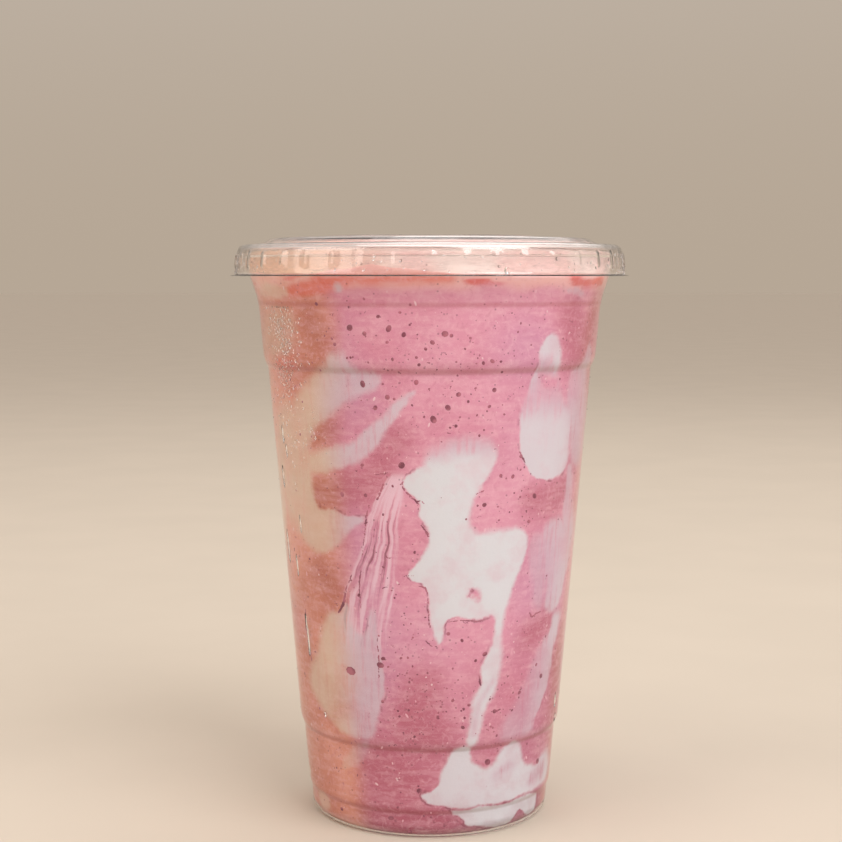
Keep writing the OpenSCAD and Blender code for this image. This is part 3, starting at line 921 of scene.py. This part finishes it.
# %% The drink's material
def drink_material():
    """Pink with slow and fine variation, cream where its depth is above 0, and pinholes."""
    material, tree, where = new_material("smoothie_finish")

    def value_of(name):
        return add(tree, "Attribute", {"attribute_name": name}, out=2)

    def times(a, b):
        return math_node(tree, "MULTIPLY", a, b)

    def layered(colour, share, over):
        return mix_colour(tree, share, colour, over)

    height = along_axis(tree, where, 2)
    side_light_here = value_of("warm")

    # The pink, from slow drifts to fine grain
    slow = noise(tree, where, 26.0, 2.0, 0.5)
    pink = mix_colour(tree, ramp(tree, slow, 0.35, 0.65), ROSE, PINK)
    mauve = ramp(tree, noise(tree, where, 34.0, 1.0, 0.5, 5.0), 0.46, 0.68, 0.0, 0.6)
    pink = layered(pink, times(mauve, ramp(tree, height, 135.0, 122.0, 0.1, 1.0)), MAUVE)
    # Painted shade: darker towards the bottom
    pink = layered(pink, ramp(tree, height, 60.0, 4.0, 0.0, 0.75), DEEP_ROSE_AND_SHADE)
    # Painted shade on the band below the lowest step
    pink = layered(pink, ramp(tree, height, 8.0, 5.5, 0.0, 0.4), SEAM_AND_SHADE)
    # Painted warm side light: the pink turns salmon at the sides
    side_lit_pink = mix_colour(tree, ramp(tree, slow, 0.3, 0.7), SIDE_LIT_TERRACOTTA, SIDE_LIT_SALMON)
    pink = layered(pink, side_light_here, side_lit_pink)
    level_streaks = scaled_up(tree, where, 4.5)
    streaky = noise(tree, level_streaks, 16.0, 2.0, 0.5, 2.0)
    rim_colour = mix_colour(tree, ramp(tree, streaky, 0.3, 0.44), RIM_RED, RIM_PEACH)
    pink = layered(pink, times(value_of("rim_band"), 0.75), rim_colour)
    # Deeper pink, partly painted shade at the foot and the right edge, browner in the painted warm
    # side light
    deeper_and_shaded = mix_colour(tree, side_light_here, DEEP_ROSE_AND_SHADE, SIDE_LIT_BROWN_ROSE)
    pink = layered(pink, times(value_of("deep"), 0.7), deeper_and_shaded)
    pink = layered(pink, times(value_of("orange"), 0.75), RIM_RED)
    fine_streaks = noise(tree, level_streaks, 7.0, 3.0, 0.6, 4.0)
    pink = layered(pink, ramp(tree, fine_streaks, 0.42, 0.66, 0.0, 0.22), PALE_PINK)
    grain = noise(tree, where, 1.1, 4.0, 0.65)
    curdled = add(tree, "TexNoise", None, {"Vector": where, "Scale": 1 / (2.2 * MM),
                                           "Detail": 2.0, "Distortion": 1.6})
    pink = layered(pink, ramp(tree, curdled, 0.54, 0.68, 0.0, 0.2), PALE_PINK)
    pink = layered(pink, ramp(tree, curdled, 0.42, 0.32, 0.0, 0.18), DEEP_ROSE_AND_SHADE)
    pink = layered(pink, ramp(tree, grain, 0.5, 0.7, 0.0, 0.2), PALE_PINK)

    # Brushed fans: noise drawn out in height, across the fan's number
    number, fan_here = times(value_of("fan_number"), 5.0), value_of("fan_amount")
    fan_place = add(tree, "CombineXYZ", None, {0: number, 1: times(height, 0.028)})
    hair = add(tree, "TexNoise", None, {"Vector": fan_place, "Scale": 1.7, "Detail": 3.0})
    hair_lift = math_node(tree, "ADD", hair, ramp(tree, height, 66.0, 90.0, 0.0, 0.12))
    hair_light = times(fan_here, ramp(tree, hair_lift, 0.44, 0.62, 0.0, 0.8))
    hair_dark = times(fan_here, ramp(tree, hair, 0.4, 0.3, 0.0, 0.7))
    colour = layered(layered(pink, hair_light, BRUSHED), hair_dark, SEAM_AND_SHADE)

    # Cream, whose edge is made ragged by up to half a millimetre
    ragged = math_node(tree, "MULTIPLY_ADD", noise(tree, where, 1.3, 3.0, 0.6, 9.0), 1.1, -0.55)
    ragged = math_node(tree, "DIVIDE", ragged, value_of("cream_soft"))
    depth_here = math_node(tree, "ADD", value_of("cream_depth"), ragged)
    white_here = value_of("whiteness")
    cream = mix_colour(tree, ramp(tree, white_here, 0.1, 0.95), THIN_CREAM, CREAM)
    # Painted warm side light: the cream turns beige at the left
    cream = layered(cream, value_of("warm_cream"), SIDE_LIT_CREAM)
    veil = ramp(tree, noise(tree, where, 7.0, 3.0, 0.6, 3.0), 0.3, 0.58, 0.78, 1.0)
    covers = ramp(tree, white_here, 0.0, 0.8, 0.35, 1.0)
    # Thin cream was brushed downwards, so it is streaked along the wall, and thick cream isn't
    down = noise(tree, scaled_up(tree, where, 0.09), 1.5, 3.0, 0.6, 6.0)
    bare = times(ramp(tree, down, 0.5, 0.64, 0.0, 0.45), ramp(tree, white_here, 0.7, 0.5))
    bare = times(bare, ramp(tree, value_of("warm_cream"), 0.0, 1.0, 1.0, 0.4))
    covers = times(covers, math_node(tree, "SUBTRACT", 1.0, bare))
    cream_share = times(times(ramp(tree, depth_here, -1.0, 1.0), covers), veil)
    colour = layered(colour, cream_share, cream)

    # A broken dark lip along crisp edges, pinholes, and painted shade lines at the steps
    from_lip = math_node(tree, "ABSOLUTE", math_node(tree, "ADD", depth_here, 1.0))
    crisp = ramp(tree, value_of("cream_soft"), 0.7, 0.35)
    patchy = ramp(tree, noise(tree, where, 4.0, 2.0, 0.6, 7.0), 0.48, 0.62, 0.0, 0.62)
    lip = times(times(ramp(tree, from_lip, 1.1, 0.0), crisp), patchy)
    colour = layered(colour, lip, SEAM_AND_SHADE)
    small = add(tree, "Group", {"node_tree": pinholes}, {
        "Place": where, "Spacing mm": 1.5, "Largest mm": 0.3, "Share": 0.45})
    small = times(small, ramp(tree, cream_share, 0.6, 0.1, 0.03, 0.45))
    colour = layered(colour, small, SEAM_AND_SHADE)
    step_shade = add(tree, "Group", {"node_tree": step_shade_lines}, {
        "Height mm": height, "Half width mm": 1.0})
    step_shade = times(step_shade, ramp(tree, cream_share, 0.0, 1.0, 0.36, 0.24))
    colour = layered(colour, step_shade, mix_colour(tree, cream_share, STEP_SHADE, CREAM_STEP_SHADE))

    bump = add(tree, "Bump", None, {"Strength": 0.2, "Distance": 0.0003, "Height": grain})
    skin = add(tree, "BsdfPrincipled", None, {
        "Base Color": colour, "Roughness": ramp(tree, grain, 0.3, 0.7, 0.42, 0.6), "Normal": bump,
        "Specular IOR Level": 0.3})
    end_material(tree, skin)
    return material


finish_piece("smoothie_drink", drink_mesh, drink_material(), ["smoothie"])

# %% [markdown]
# ## Froth on the wall
# Above the drink's level a thin film of froth clings to the inside of the cup. It is a turned
# band, 0.2 mm thick, whose outer face lies just inside the sheet. Its finish is part see-through,
# in level streaks that thin out towards the rim.

# %% The film of froth
# Where the film starts, and how far from the cup's inner face its own two faces lie
FILM_LOW, FILM_OUT, FILM_IN = 138.6, 0.08, -0.12
film_z = np.linspace(FILM_LOW, roll_z + 0.3, 24)[:, None]
film_outer, film_inner = (on_axis(drink_angle, cup_radius(film_z) - WALL + away, film_z)
                          for away in (FILM_OUT, FILM_IN))
film_rings = np.concatenate([film_outer, film_inner[::-1]])
column = np.arange(DRINK_COLUMNS)
after = np.roll(column, -1)
row = np.arange(len(film_rings))[:, None] * DRINK_COLUMNS
above = np.roll(row, -1, axis=0)
film_quads = np.stack([row + column, row + after, above + after, above + column], axis=-1)
film_mesh = mesh_from("froth_film", film_rings.reshape(-1, 3), film_quads.reshape(-1, 4))


def film_material():
    """Pale pink froth whose cover falls with height and breaks into level streaks, turned peach at
    the left by painted warm side light.
    """
    material, tree, where = new_material("froth_finish")
    height = along_axis(tree, where, 2)
    level_streaks = scaled_up(tree, where, 4.0)
    streaky = noise(tree, level_streaks, 9.0, 4.0, 0.6)
    cover = ramp(tree, streaky, 0.32, 0.58, 0.45, 1.0)
    cover = math_node(tree, "MULTIPLY", cover, ramp(tree, height, roll_z - 0.6, 140.0, 0.5, 1.0))
    pale = ramp(tree, noise(tree, where, 14.0), 0.4, 0.6)
    colour = mix_colour(tree, pale, srgb(250, 220, 218), srgb(252, 236, 232))
    # Painted warm side light: the froth turns peach towards the left
    left_side_light = ramp(tree, along_axis(tree, where, 0), -32.0, -4.0)
    colour = mix_colour(tree, left_side_light, srgb(240, 204, 180), colour)
    skin = add(tree, "BsdfPrincipled", None, {"Base Color": colour, "Roughness": 0.5})
    clear = add(tree, "BsdfTransparent")
    end_material(tree, add(tree, "MixShader", None, {0: cover, 1: clear, 2: skin}))
    return material


finish_piece("froth_film", film_mesh, film_material())

# %% [markdown]
# ## Bubbles and seeds at the wall
# Larger bubbles and bits of fruit press against the wall as dark rosy dots, a third of a
# millimetre to two across. Each is a low dome of a few faces, laid on the drink's surface within
# the wall's thickness. They crowd below the neck, where froth rises, and string out along the
# cream's edges. Pale flecks lie among them in the same way, as painted highlights that stand for
# the bright glints of bubbles.


# %% Domes laid on the cup's surface
def dome_cloud(name, angle, height, size, stretch, turn, base_r, thick, sides):
    """One mesh of many low domes.

    Each dome is rings of points at shares of its half-width, rising as thick (1 - share^2), turned
    by an angle in the surface and laid on the cup at its own angle and height. All arrays hold one
    value a dome. A flat back closes it."""
    shares = np.array([1.0, 0.85, 0.5])
    t = np.linspace(0, 2 * np.pi, sides, endpoint=False)
    # Along, across and up for every point, with the top's and the back's middle last
    u = np.append((shares[:, None] * np.cos(t)).ravel(), [0, 0])
    v = np.append((shares[:, None] * np.sin(t)).ravel(), [0, 0])
    w = np.append(np.repeat(1 - shares ** 2, sides), [1.0, 0.0])
    c, s = np.cos(turn)[:, None], np.sin(turn)[:, None]
    along = size[:, None] * stretch[:, None] * u
    across = size[:, None] * v
    z = height[:, None] + (s * across + c * along)
    r = base_r(z) + w * thick[:, None]
    a = angle[:, None] + np.degrees((c * across - s * along) / r)
    j = np.arange(sides)
    k = (j + 1) % sides
    last = (len(shares) - 1) * sides
    rings = [np.stack([low + k, low + j, low + sides + j, low + sides + k], -1)
             for low in range(0, last, sides)]
    top, back = last + sides, last + sides + 1
    fans = [np.stack([last + k, last + j, np.full(sides, top)], -1),
            np.stack([j, k, np.full(sides, back)], -1)]
    first = (np.arange(len(angle)) * (back + 1))[:, None, None]
    quads = (np.vstack(rings)[None] + first).reshape(-1, 4)
    return mesh_from(name, on_axis(a, r, z).reshape(-1, 3), quads,
                     (np.vstack(fans)[None] + first).reshape(-1, 3))


SUNK = 0.02


def drink_skin(z):
    """Radius just under the drink's surface at height z, where the backs of the domes lie."""
    return cup_radius(z) - (WALL - REACH_IN) - SUNK


# %% Where the bubbles are
# The ones that stand out: (angle, height, half-width)
BIG_BUBBLES = np.array([
    (-26, 126.3, 0.85), (-21, 125, 0.62), (-13, 126.2, 0.7), (-8.3, 124.8, 0.7), (4.5, 125, 0.8),
    (6.5, 124.6, 0.5), (0.6, 123, 0.55), (20, 118.5, 0.5), (17, 118.1, 0.42), (21.6, 111.6, 0.62),
    (-4.6, 113.6, 0.6), (-14.3, 110, 0.65), (-12, 109.6, 0.4), (-18.6, 107.4, 0.6),
    (5.8, 107.6, 0.7), (-31.8, 122.3, 0.5), (-22.8, 113, 0.7), (9.3, 110.7, 0.6), (12.6, 109, 0.42),
    (-16.3, 129, 0.45), (-13.6, 123, 0.4), (-4.4, 119.5, 0.4), (-3.6, 117.8, 0.4), (-12, 119, 0.36),
    (-1.5, 121.5, 0.4), (12.5, 124, 0.4), (20, 107.7, 0.5), (1, 104.8, 0.8), (8.6, 103.2, 0.4),
    (16.8, 100.8, 0.4), (-24.2, 93.5, 0.55), (-9.9, 93.8, 0.85), (-23.4, 86.2, 0.5), (-33, 86, 0.6),
    (-6.2, 131.8, 0.4), (-26, 131.2, 0.3), (-33.6, 41.9, 1.2), (-20, 44.3, 0.8), (-18.8, 46, 0.5),
    (-19.6, 35.1, 0.45), (-50, 29.2, 0.55), (-4.7, 12.6, 0.65), (-18.3, 4.8, 0.6),
    (-15.9, 4.2, 0.5), (-9.4, 1.7, 0.5), (-10, 33.4, 0.35), (-9, 35.9, 0.4), (26, 19, 0.9),
    (53, 38.6, 0.7), (25.4, 90.9, 0.5), (30.3, 90.5, 0.5), (19.5, 84, 0.55), (40.8, 85.2, 0.65),
    (38.8, 79, 0.5), (33.3, 95.3, 0.5), (27.5, 32.1, 0.6), (22, 47, 0.6), (18.2, 45.5, 0.4),
    (7, 52.6, 0.5), (12.4, 50.8, 0.4), (3.2, 31.8, 0.4), (14.3, 31.2, 0.4), (13.6, 28.8, 0.45),
    (9.2, 35.8, 0.4), (16, 34.4, 0.4), (39.8, 35.8, 0.5), (49, 42, 0.5), (58.5, 15.5, 0.8),
    (7.4, 3.7, 0.6), (2.2, 4.4, 0.4), (-28, 61.4, 0.4), (-46.2, 4.5, 0.6), (-38, 131.8, 0.5)])
# Strings of tiny bubbles along edges, as places (angle, height, half-width)
STRINGS = [
    [(-9.4, 90.6, 0.2), (-9.6, 88.4, 0.28), (-7.2, 86.6, 0.25), (-4.6, 84.8, 0.22),
     (-4.2, 83, 0.15)],
    [(-3.4, 79.4, 0.2), (-1.4, 77.8, 0.3), (-0.6, 76.5, 0.15)],
    [(-4, 64.4, 0.15), (-1.8, 64, 0.28), (-0.9, 61.8, 0.2), (-0.7, 58, 0.15), (-0.3, 54.4, 0.28)],
    [(6, 55.4, 0.12), (12, 55.8, 0.2), (20, 55.2, 0.15)],
    [(-31, 66, 0.2), (-33.6, 62.4, 0.3), (-35.4, 58.8, 0.55), (-38.2, 56.1, 0.25)],
    [(-16.4, 89.2, 0.2), (-17.6, 87.2, 0.36), (-19.2, 85.2, 0.2)],
    [(-19.6, 91.4, 0.12), (-17, 91.6, 0.25), (-14.4, 92, 0.12)],
    [(32.6, 96.4, 0.2), (34, 95, 0.32), (35.4, 93.6, 0.2)],
    [(20, 41.4, 0.2), (20.4, 39.8, 0.34), (21, 38.6, 0.2)],
    [(7, 3.4, 0.35), (9, 4.4, 0.25), (13, 4.4, 0.25), (16.4, 2.6, 0.3)],
    [(42.6, 56, 0.3), (44, 54.8, 0.4), (46, 55.2, 0.3), (49, 55.6, 0.2)],
    [(-26.4, 68, 0.2), (-27.4, 65, 0.25), (-27.6, 61, 0.2), (-27.4, 58, 0.15)],
    [(-22, 84, 0.2), (-23.4, 81, 0.25), (-24.6, 76, 0.2), (-26, 71, 0.15)],
    [(-59.6, 55, 0.25), (-59.2, 49, 0.5), (-58, 44, 0.45), (-57.4, 41, 0.2)],
    [(16.6, 86.8, 0.15), (19, 87.4, 0.25)], [(25.5, 32, 0.2), (30, 32.3, 0.25)],
    [(-2, 51, 0.15), (1, 49.4, 0.22), (3, 49.6, 0.15)],
    [(-21, 51, 0.15), (-20.6, 46, 0.2), (-20.8, 41, 0.15)],
    [(120, 80, 0.2), (124, 74, 0.3), (126, 66, 0.2)],
    [(200, 90, 0.2), (204, 82, 0.3), (203, 74, 0.2)],
    [(250, 60, 0.2), (246, 52, 0.3), (247, 44, 0.2)],
]
# Crowds of small ones low down, where the drink stood longest, and two behind:
# (how many, middle angle, middle height, spread in angle, spread in height)
CROWDS = [(110, -3, 33, 9, 7), (40, 31, 27, 9, 6), (40, -8, 47, 5, 6), (40, 34, 84, 7, 5),
          (30, 8, 108, 12, 5), (120, 130, 55, 28, 24), (120, 235, 60, 30, 24)]
# Strings have so many bubbles a mm, and angles become mm at a middling radius of the wall
PER_MM, MIDDLING_R = 3.2, 38
print("placed by hand:", len(BIG_BUBBLES), "bubbles and", len(STRINGS), "strings")

# %% Ways to place small things
rng = np.random.default_rng(8)


def gathered(count, middle_a, middle_z, spread_a, spread_z):
    """Angles and heights of a number of things, gathered round a middle."""
    return rng.normal(middle_a, spread_a, count), rng.normal(middle_z, spread_z, count)


def off_cream(rows, kept=0.0):
    """The rows (angle, height, ...) that aren't in cream, and a share of those that are."""
    depth = cream_at(rows[:, 0], rows[:, 1], cup_radius(rows[:, 1]))[0]
    return rows[(depth < 0.5) | (rng.random(len(rows)) < kept)]


def string_bubbles(places):
    """Rows (angle, height, half-width, stretch, turn) of tiny bubbles along a curve.

    Each is drawn out along the curve, whose direction (x, z) gives the turn atan2(-x, z), with
    x = radians(angle) * radius."""
    curve = smooth_curve(places)
    run, rise = np.radians(np.diff(curve[:, 0])) * MIDDLING_R, np.diff(curve[:, 1])
    along = np.concatenate([[0], np.cumsum(np.hypot(run, rise))])
    count = int(along[-1] * PER_MM) + 2
    at = np.sort(rng.uniform(0, along[-1], count))
    a, z, half = (np.interp(at, along, curve[:, i]) for i in range(3))
    span = np.clip(np.searchsorted(along, at) - 1, 0, len(run) - 1)
    turn = np.arctan2(-run[span], rise[span]) + rng.normal(0, 0.25, count)
    return np.column_stack([
        a + rng.normal(0, 0.1, count), z + rng.normal(0, 0.06, count),
        half * rng.uniform(0.55, 1.0, count), rng.uniform(1.2, 2.8, count), turn])


def round_bubbles(rows):
    """Rows (angle, height, half-width, stretch, turn) of nearly round bubbles that lie anyhow."""
    count = len(rows)
    return np.column_stack([rows, rng.uniform(0.8, 1.4, count), rng.uniform(0, np.pi, count)])


# %% The bubbles
PULP_COUNT, SCATTER_COUNT, BUBBLE_THICK, DOME_SIDES = 300, 1500, 0.07, 8
LOW_Z, HIGH_Z = 3, 134
# Short curved bits of pulp, each a string of a few tiny bubbles, all the way round
pulp = off_cream(np.column_stack([
    rng.uniform(low, high, PULP_COUNT) for low, high in ((-180, 180), (4, 131), (0.07, 0.17))]))
squiggles = []
for a, z, half in pulp:
    run, rise, bend = rng.normal(0, 1.4), rng.normal(0, 0.5), rng.uniform(-1.2, 1.2)
    middle = (a + run / 2 + bend * 0.5, z + rise / 2 + bend * 0.4, half * 1.2)
    squiggles.append([(a, z, half), middle, (a + run, z + rise, half * 0.8)])
# Single bubbles all the way round, a third of them below the neck
high_up = rng.random(SCATTER_COUNT) < 0.35
scatter_a = rng.uniform(-180, 180, SCATTER_COUNT)
below_neck, anywhere = rng.normal(117, 8, SCATTER_COUNT), rng.uniform(LOW_Z, HIGH_Z, SCATTER_COUNT)
scatter = off_cream(np.column_stack([
    scatter_a, np.clip(np.where(high_up, below_neck, anywhere), LOW_Z, HIGH_Z),
    0.12 + 0.26 * rng.random(SCATTER_COUNT) ** 3]), 0.1)
crowd_a, crowd_z = np.hstack([gathered(*one) for one in CROWDS])
crowd = off_cream(np.column_stack([crowd_a, np.clip(crowd_z, LOW_Z, HIGH_Z),
                                   0.13 + 0.24 * rng.random(len(crowd_a)) ** 2]), 0.1)
bubble_rows = [round_bubbles(rows) for rows in (BIG_BUBBLES * (1, 1, 1.1), scatter, crowd)]
bubble_rows = np.vstack(bubble_rows + [string_bubbles(places) for places in STRINGS + squiggles])
bubble_mesh = dome_cloud("bubbles", *bubble_rows.T, drink_skin,
                         np.full(len(bubble_rows), BUBBLE_THICK), DOME_SIDES)
print("bubbles:", len(bubble_rows))


# %% Finish of the bubbles and flecks
def varied_material(name, size_mm, detail, one, other, roughness):
    """Two colours that differ from place to place, so each dome has its own."""
    material, tree, where = new_material(name)
    vary = ramp(tree, noise(tree, where, size_mm, detail), 0.35, 0.65)
    colour = mix_colour(tree, vary, one, other)
    end_material(tree, add(tree, "BsdfPrincipled", None, {
        "Base Color": colour, "Roughness": roughness}))
    return material


bubble_finish = varied_material(
    "bubble_finish", 2.0, 1.0, srgb(126, 54, 78), srgb(180, 104, 122), 0.35)
# Painted highlight: pale flecks stand for the bright glints of bubbles
highlight_fleck_finish = varied_material(
    "highlight_fleck_finish", 6.0, 2.0, srgb(228, 180, 192), srgb(232, 204, 208), 0.5)
finish_piece("bubbles", bubble_mesh, bubble_finish)

# %% Pale flecks of painted highlight
FLECK_COUNT, FLECK_THICK = 600, 0.06
flecks_at = off_cream(np.column_stack([
    rng.uniform(-180, 180, FLECK_COUNT), rng.uniform(4, 136, FLECK_COUNT),
    0.1 + 0.24 * rng.random(FLECK_COUNT) ** 2]))
fleck_count = len(flecks_at)
fleck_mesh = dome_cloud("highlight_flecks", *flecks_at.T, rng.uniform(1.0, 2.6, fleck_count),
                        rng.normal(0, 0.5, fleck_count), drink_skin,
                        np.full(fleck_count, FLECK_THICK), DOME_SIDES)
finish_piece("highlight_flecks", fleck_mesh, highlight_fleck_finish)

# %% [markdown]
# ## Condensation
# A cold drink draws water out of the air. Beads gather in patches on the outside and some run
# down in short trails. Water bends light a little less than the plastic, with an index of 1.33.

# %% Where the water is
# Patches of beads: (how many, middle angle, middle height, spread in angle, spread in height)
BEAD_PATCHES = [
    (220, -57, 127.0, 4.5, 2.6), (150, -55, 119, 5.0, 2.4), (90, -58, 113, 4.0, 2.5),
    (40, -46, 99, 4, 3.0), (90, -62, 104, 5, 10.0), (140, 150, 122, 12, 5.0),
    (90, 205, 92, 10, 8.0), (120, 100, 110, 8, 8.0), (100, -100, 80, 9, 20.0)]
# Trails of water: (angle, height, half-width, stretch)
TRAILS = np.array([
    (-66, 99, 0.8, 3.0), (-63.5, 95, 0.6, 3.0), (-59, 48.5, 0.9, 6.5), (-70, 88, 1.0, 3.0),
    (-63, 66, 0.6, 5.0), (-72, 70, 0.9, 5.0), (-50, 29, 0.5, 1.5), (-57, 77, 0.4, 6.0),
    (150, 100, 0.7, 2.0), (196, 76, 0.6, 3.0), (-110, 60, 0.7, 2.5), (70, 30, 0.7, 3.0),
    (73, 25, 0.9, 1.3)])
# One larger drop hangs in front on the lid's skirt
DROP_A, DROP_Z, DROP_HALF = 20.6, 139.6, 0.75
# How many beads are on the skirt at each side, and how many more all the way round
MIST_SIDE, MIST_ROUND, BEAD_SIDES = 420, 200, 10
print("bead patches:", len(BEAD_PATCHES), "trails:", len(TRAILS))

# %% Beads and trails
bead_a, bead_z = np.hstack([gathered(*patch) for patch in BEAD_PATCHES])
bead_z = np.clip(bead_z, 9, 130.8)
# Mist gathers thickest on the skirt to the left and right
skirt_a = np.concatenate([[DROP_A], rng.normal(84, 7, MIST_SIDE), rng.normal(-84, 7, MIST_SIDE),
                          rng.uniform(-180, 180, MIST_ROUND)])
mist_count = len(skirt_a) - 1
skirt_z = np.append(DROP_Z, rng.uniform(139.1, 143.8, mist_count))
skirt_s = np.append(DROP_HALF, 0.12 + 0.24 * rng.random(mist_count) ** 2)
bead_s = 0.1 + 0.22 * rng.random(len(bead_a)) ** 2
drop_count = len(bead_a) + len(skirt_a)
water_a = np.concatenate([bead_a, skirt_a, TRAILS[:, 0]])
water_z = np.concatenate([bead_z, skirt_z, TRAILS[:, 1]])
water_s = np.concatenate([bead_s, skirt_s, TRAILS[:, 2]])
water_long = np.concatenate([rng.uniform(0.9, 1.3, drop_count), TRAILS[:, 3]])
water_turn = np.concatenate([rng.uniform(0, np.pi, drop_count), np.full(len(TRAILS), 0.06)])


def outside(z):
    """Radius of the outer face at height z: the cup's wall, or the lid's skirt above the flange."""
    skirt = skirt_r + SKIRT_FLARE * (roll_z - z) / SKIRT_H
    return np.where(z > flange_z, skirt, cup_radius(z)) + 0.01


water_mesh = dome_cloud("water_beads", water_a, water_z, water_s, water_long, water_turn, outside,
                        np.clip(water_s * 0.45, 0.08, 0.3), BEAD_SIDES)


def water_material():
    """Clear water that lamps shine through."""
    material, tree, where = new_material("water")
    rough = ramp(tree, noise(tree, where, 4.0), 0.3, 0.7, 0.0, 0.06)
    skin = add(tree, "BsdfPrincipled", None, {
        "Base Color": (1, 1, 1, 1), "Roughness": rough, "IOR": 1.33, "Transmission Weight": 1.0})
    end_material(tree, skin, (1, 1, 1))
    return material


finish_piece("water_beads", water_mesh, water_material())

# %% [markdown]
# ## Floor, light and camera
# The floor is plain and pale, with the warm tone of undyed linen, and the world behind it has the
# same tone. A large soft lamp in front and above gives the drink its roundness. It stands high,
# so the upright wall doesn't mirror it, and the lid's shoulder does. A weaker warm lamp fills the
# left.


# %% Floor and world
def plain_material(name, colour, roughness):
    """A matte surface with a faint mottle, for the floor."""
    material, tree, where = new_material(name)
    mottle = ramp(tree, noise(tree, where, 60.0, 3.0), 0.3, 0.7, 0.0, 0.25)
    lighter = tuple(min(1.0, c * 1.1) for c in colour)
    skin = add(tree, "BsdfPrincipled", None, {
        "Base Color": mix_colour(tree, mottle, colour, lighter), "Roughness": roughness,
        "Specular IOR Level": 0.2})
    end_material(tree, skin)
    return material


# In millimetres: the floor lies just under the cup and is wide enough to meet the world's edge
FLOOR_R, FLOOR_Z, FLOOR_SIDES = 12000.0, -0.2, 64
floor_points = on_axis(np.arange(FLOOR_SIDES) * 360 / FLOOR_SIDES, FLOOR_R, FLOOR_Z)
floor_mesh = mesh_from("floor", floor_points, np.arange(FLOOR_SIDES)[None])
floor_mesh.materials.append(plain_material("floor_linen", srgb(213, 200, 184), 0.8))
floor = bpy.data.objects.new("floor", floor_mesh)
bpy.context.scene.collection.objects.link(floor)

world = bpy.data.worlds.new("studio")
bpy.context.scene.world = world
world.use_nodes = True
sky = world.node_tree
sky.nodes.clear()
sky_up = add(sky, "SeparateXYZ", None, {0: add(sky, "TexCoord", out=0)}, out=2)
sky_share = ramp(sky, sky_up, 0.0, 0.7)
sky_colour = mix_colour(sky, sky_share, srgb(193, 177, 159), srgb(232, 226, 221))
sky_light = add(sky, "Background", None, {"Color": sky_colour, "Strength": 0.88})
add(sky, "OutputWorld", None, {"Surface": sky_light})
print("floor", 2 * FLOOR_R * MM, "m across, world:", world.name)


# %% Lamps
def soft_lamp(name, place, size, power, colour):
    """A square area lamp, in metres and watts, that looks at the middle of the cup."""
    lamp = bpy.data.lights.new(name, "AREA")
    lamp.size, lamp.energy, lamp.color = size, power, colour
    holder = bpy.data.objects.new(name, lamp)
    holder.location = place
    aim = Vector((0, 0, cad_high.z / 2)) - holder.location
    holder.rotation_euler = aim.to_track_quat("-Z", "Y").to_euler()
    bpy.context.scene.collection.objects.link(holder)


# Name, place and width in metres, power in watts, colour
LAMPS = (
    ("key", (0.72, -0.78, 0.98), 1.0, 11.6, (0.98, 0.99, 1.0)),
    ("warm_fill", (-0.95, -0.45, 0.55), 0.8, 4.0, (1.0, 0.93, 0.87)),
    ("top", (0.05, 0.25, 1.3), 0.9, 2.0, (1.0, 0.99, 0.98)),
    ("back_fill", (0.25, 0.75, 0.9), 0.7, 0.9, (1.0, 0.97, 0.94)),
)
for lamp_settings in LAMPS:
    soft_lamp(*lamp_settings)
print("lamps:", [lamp_settings[0] for lamp_settings in LAMPS])

# %% Camera
# The camera is almost level with the lid and looks down a little, with a lens in millimetres
CAMERA_AT, LOOK_DOWN, LENS, SENSOR = (-0.0022, -0.4212, 0.1387), 5.14, 69.56, 36.0
# Clear plastic in two layers needs more bounces than usual before a ray may end
BOUNCES = 24
camera_data = bpy.data.cameras.new("camera")
camera_data.sensor_width, camera_data.lens = SENSOR, LENS
camera = bpy.data.objects.new("camera", camera_data)
camera.location = CAMERA_AT
camera.rotation_euler = (math.radians(90 - LOOK_DOWN), 0, 0)
scene = bpy.context.scene
scene.collection.objects.link(camera)
scene.camera = camera
scene.view_settings.view_transform = "Standard"
scene.cycles.max_bounces = scene.cycles.transmission_bounces = BOUNCES
print("camera at", CAMERA_AT, "looks down", LOOK_DOWN, "degrees")
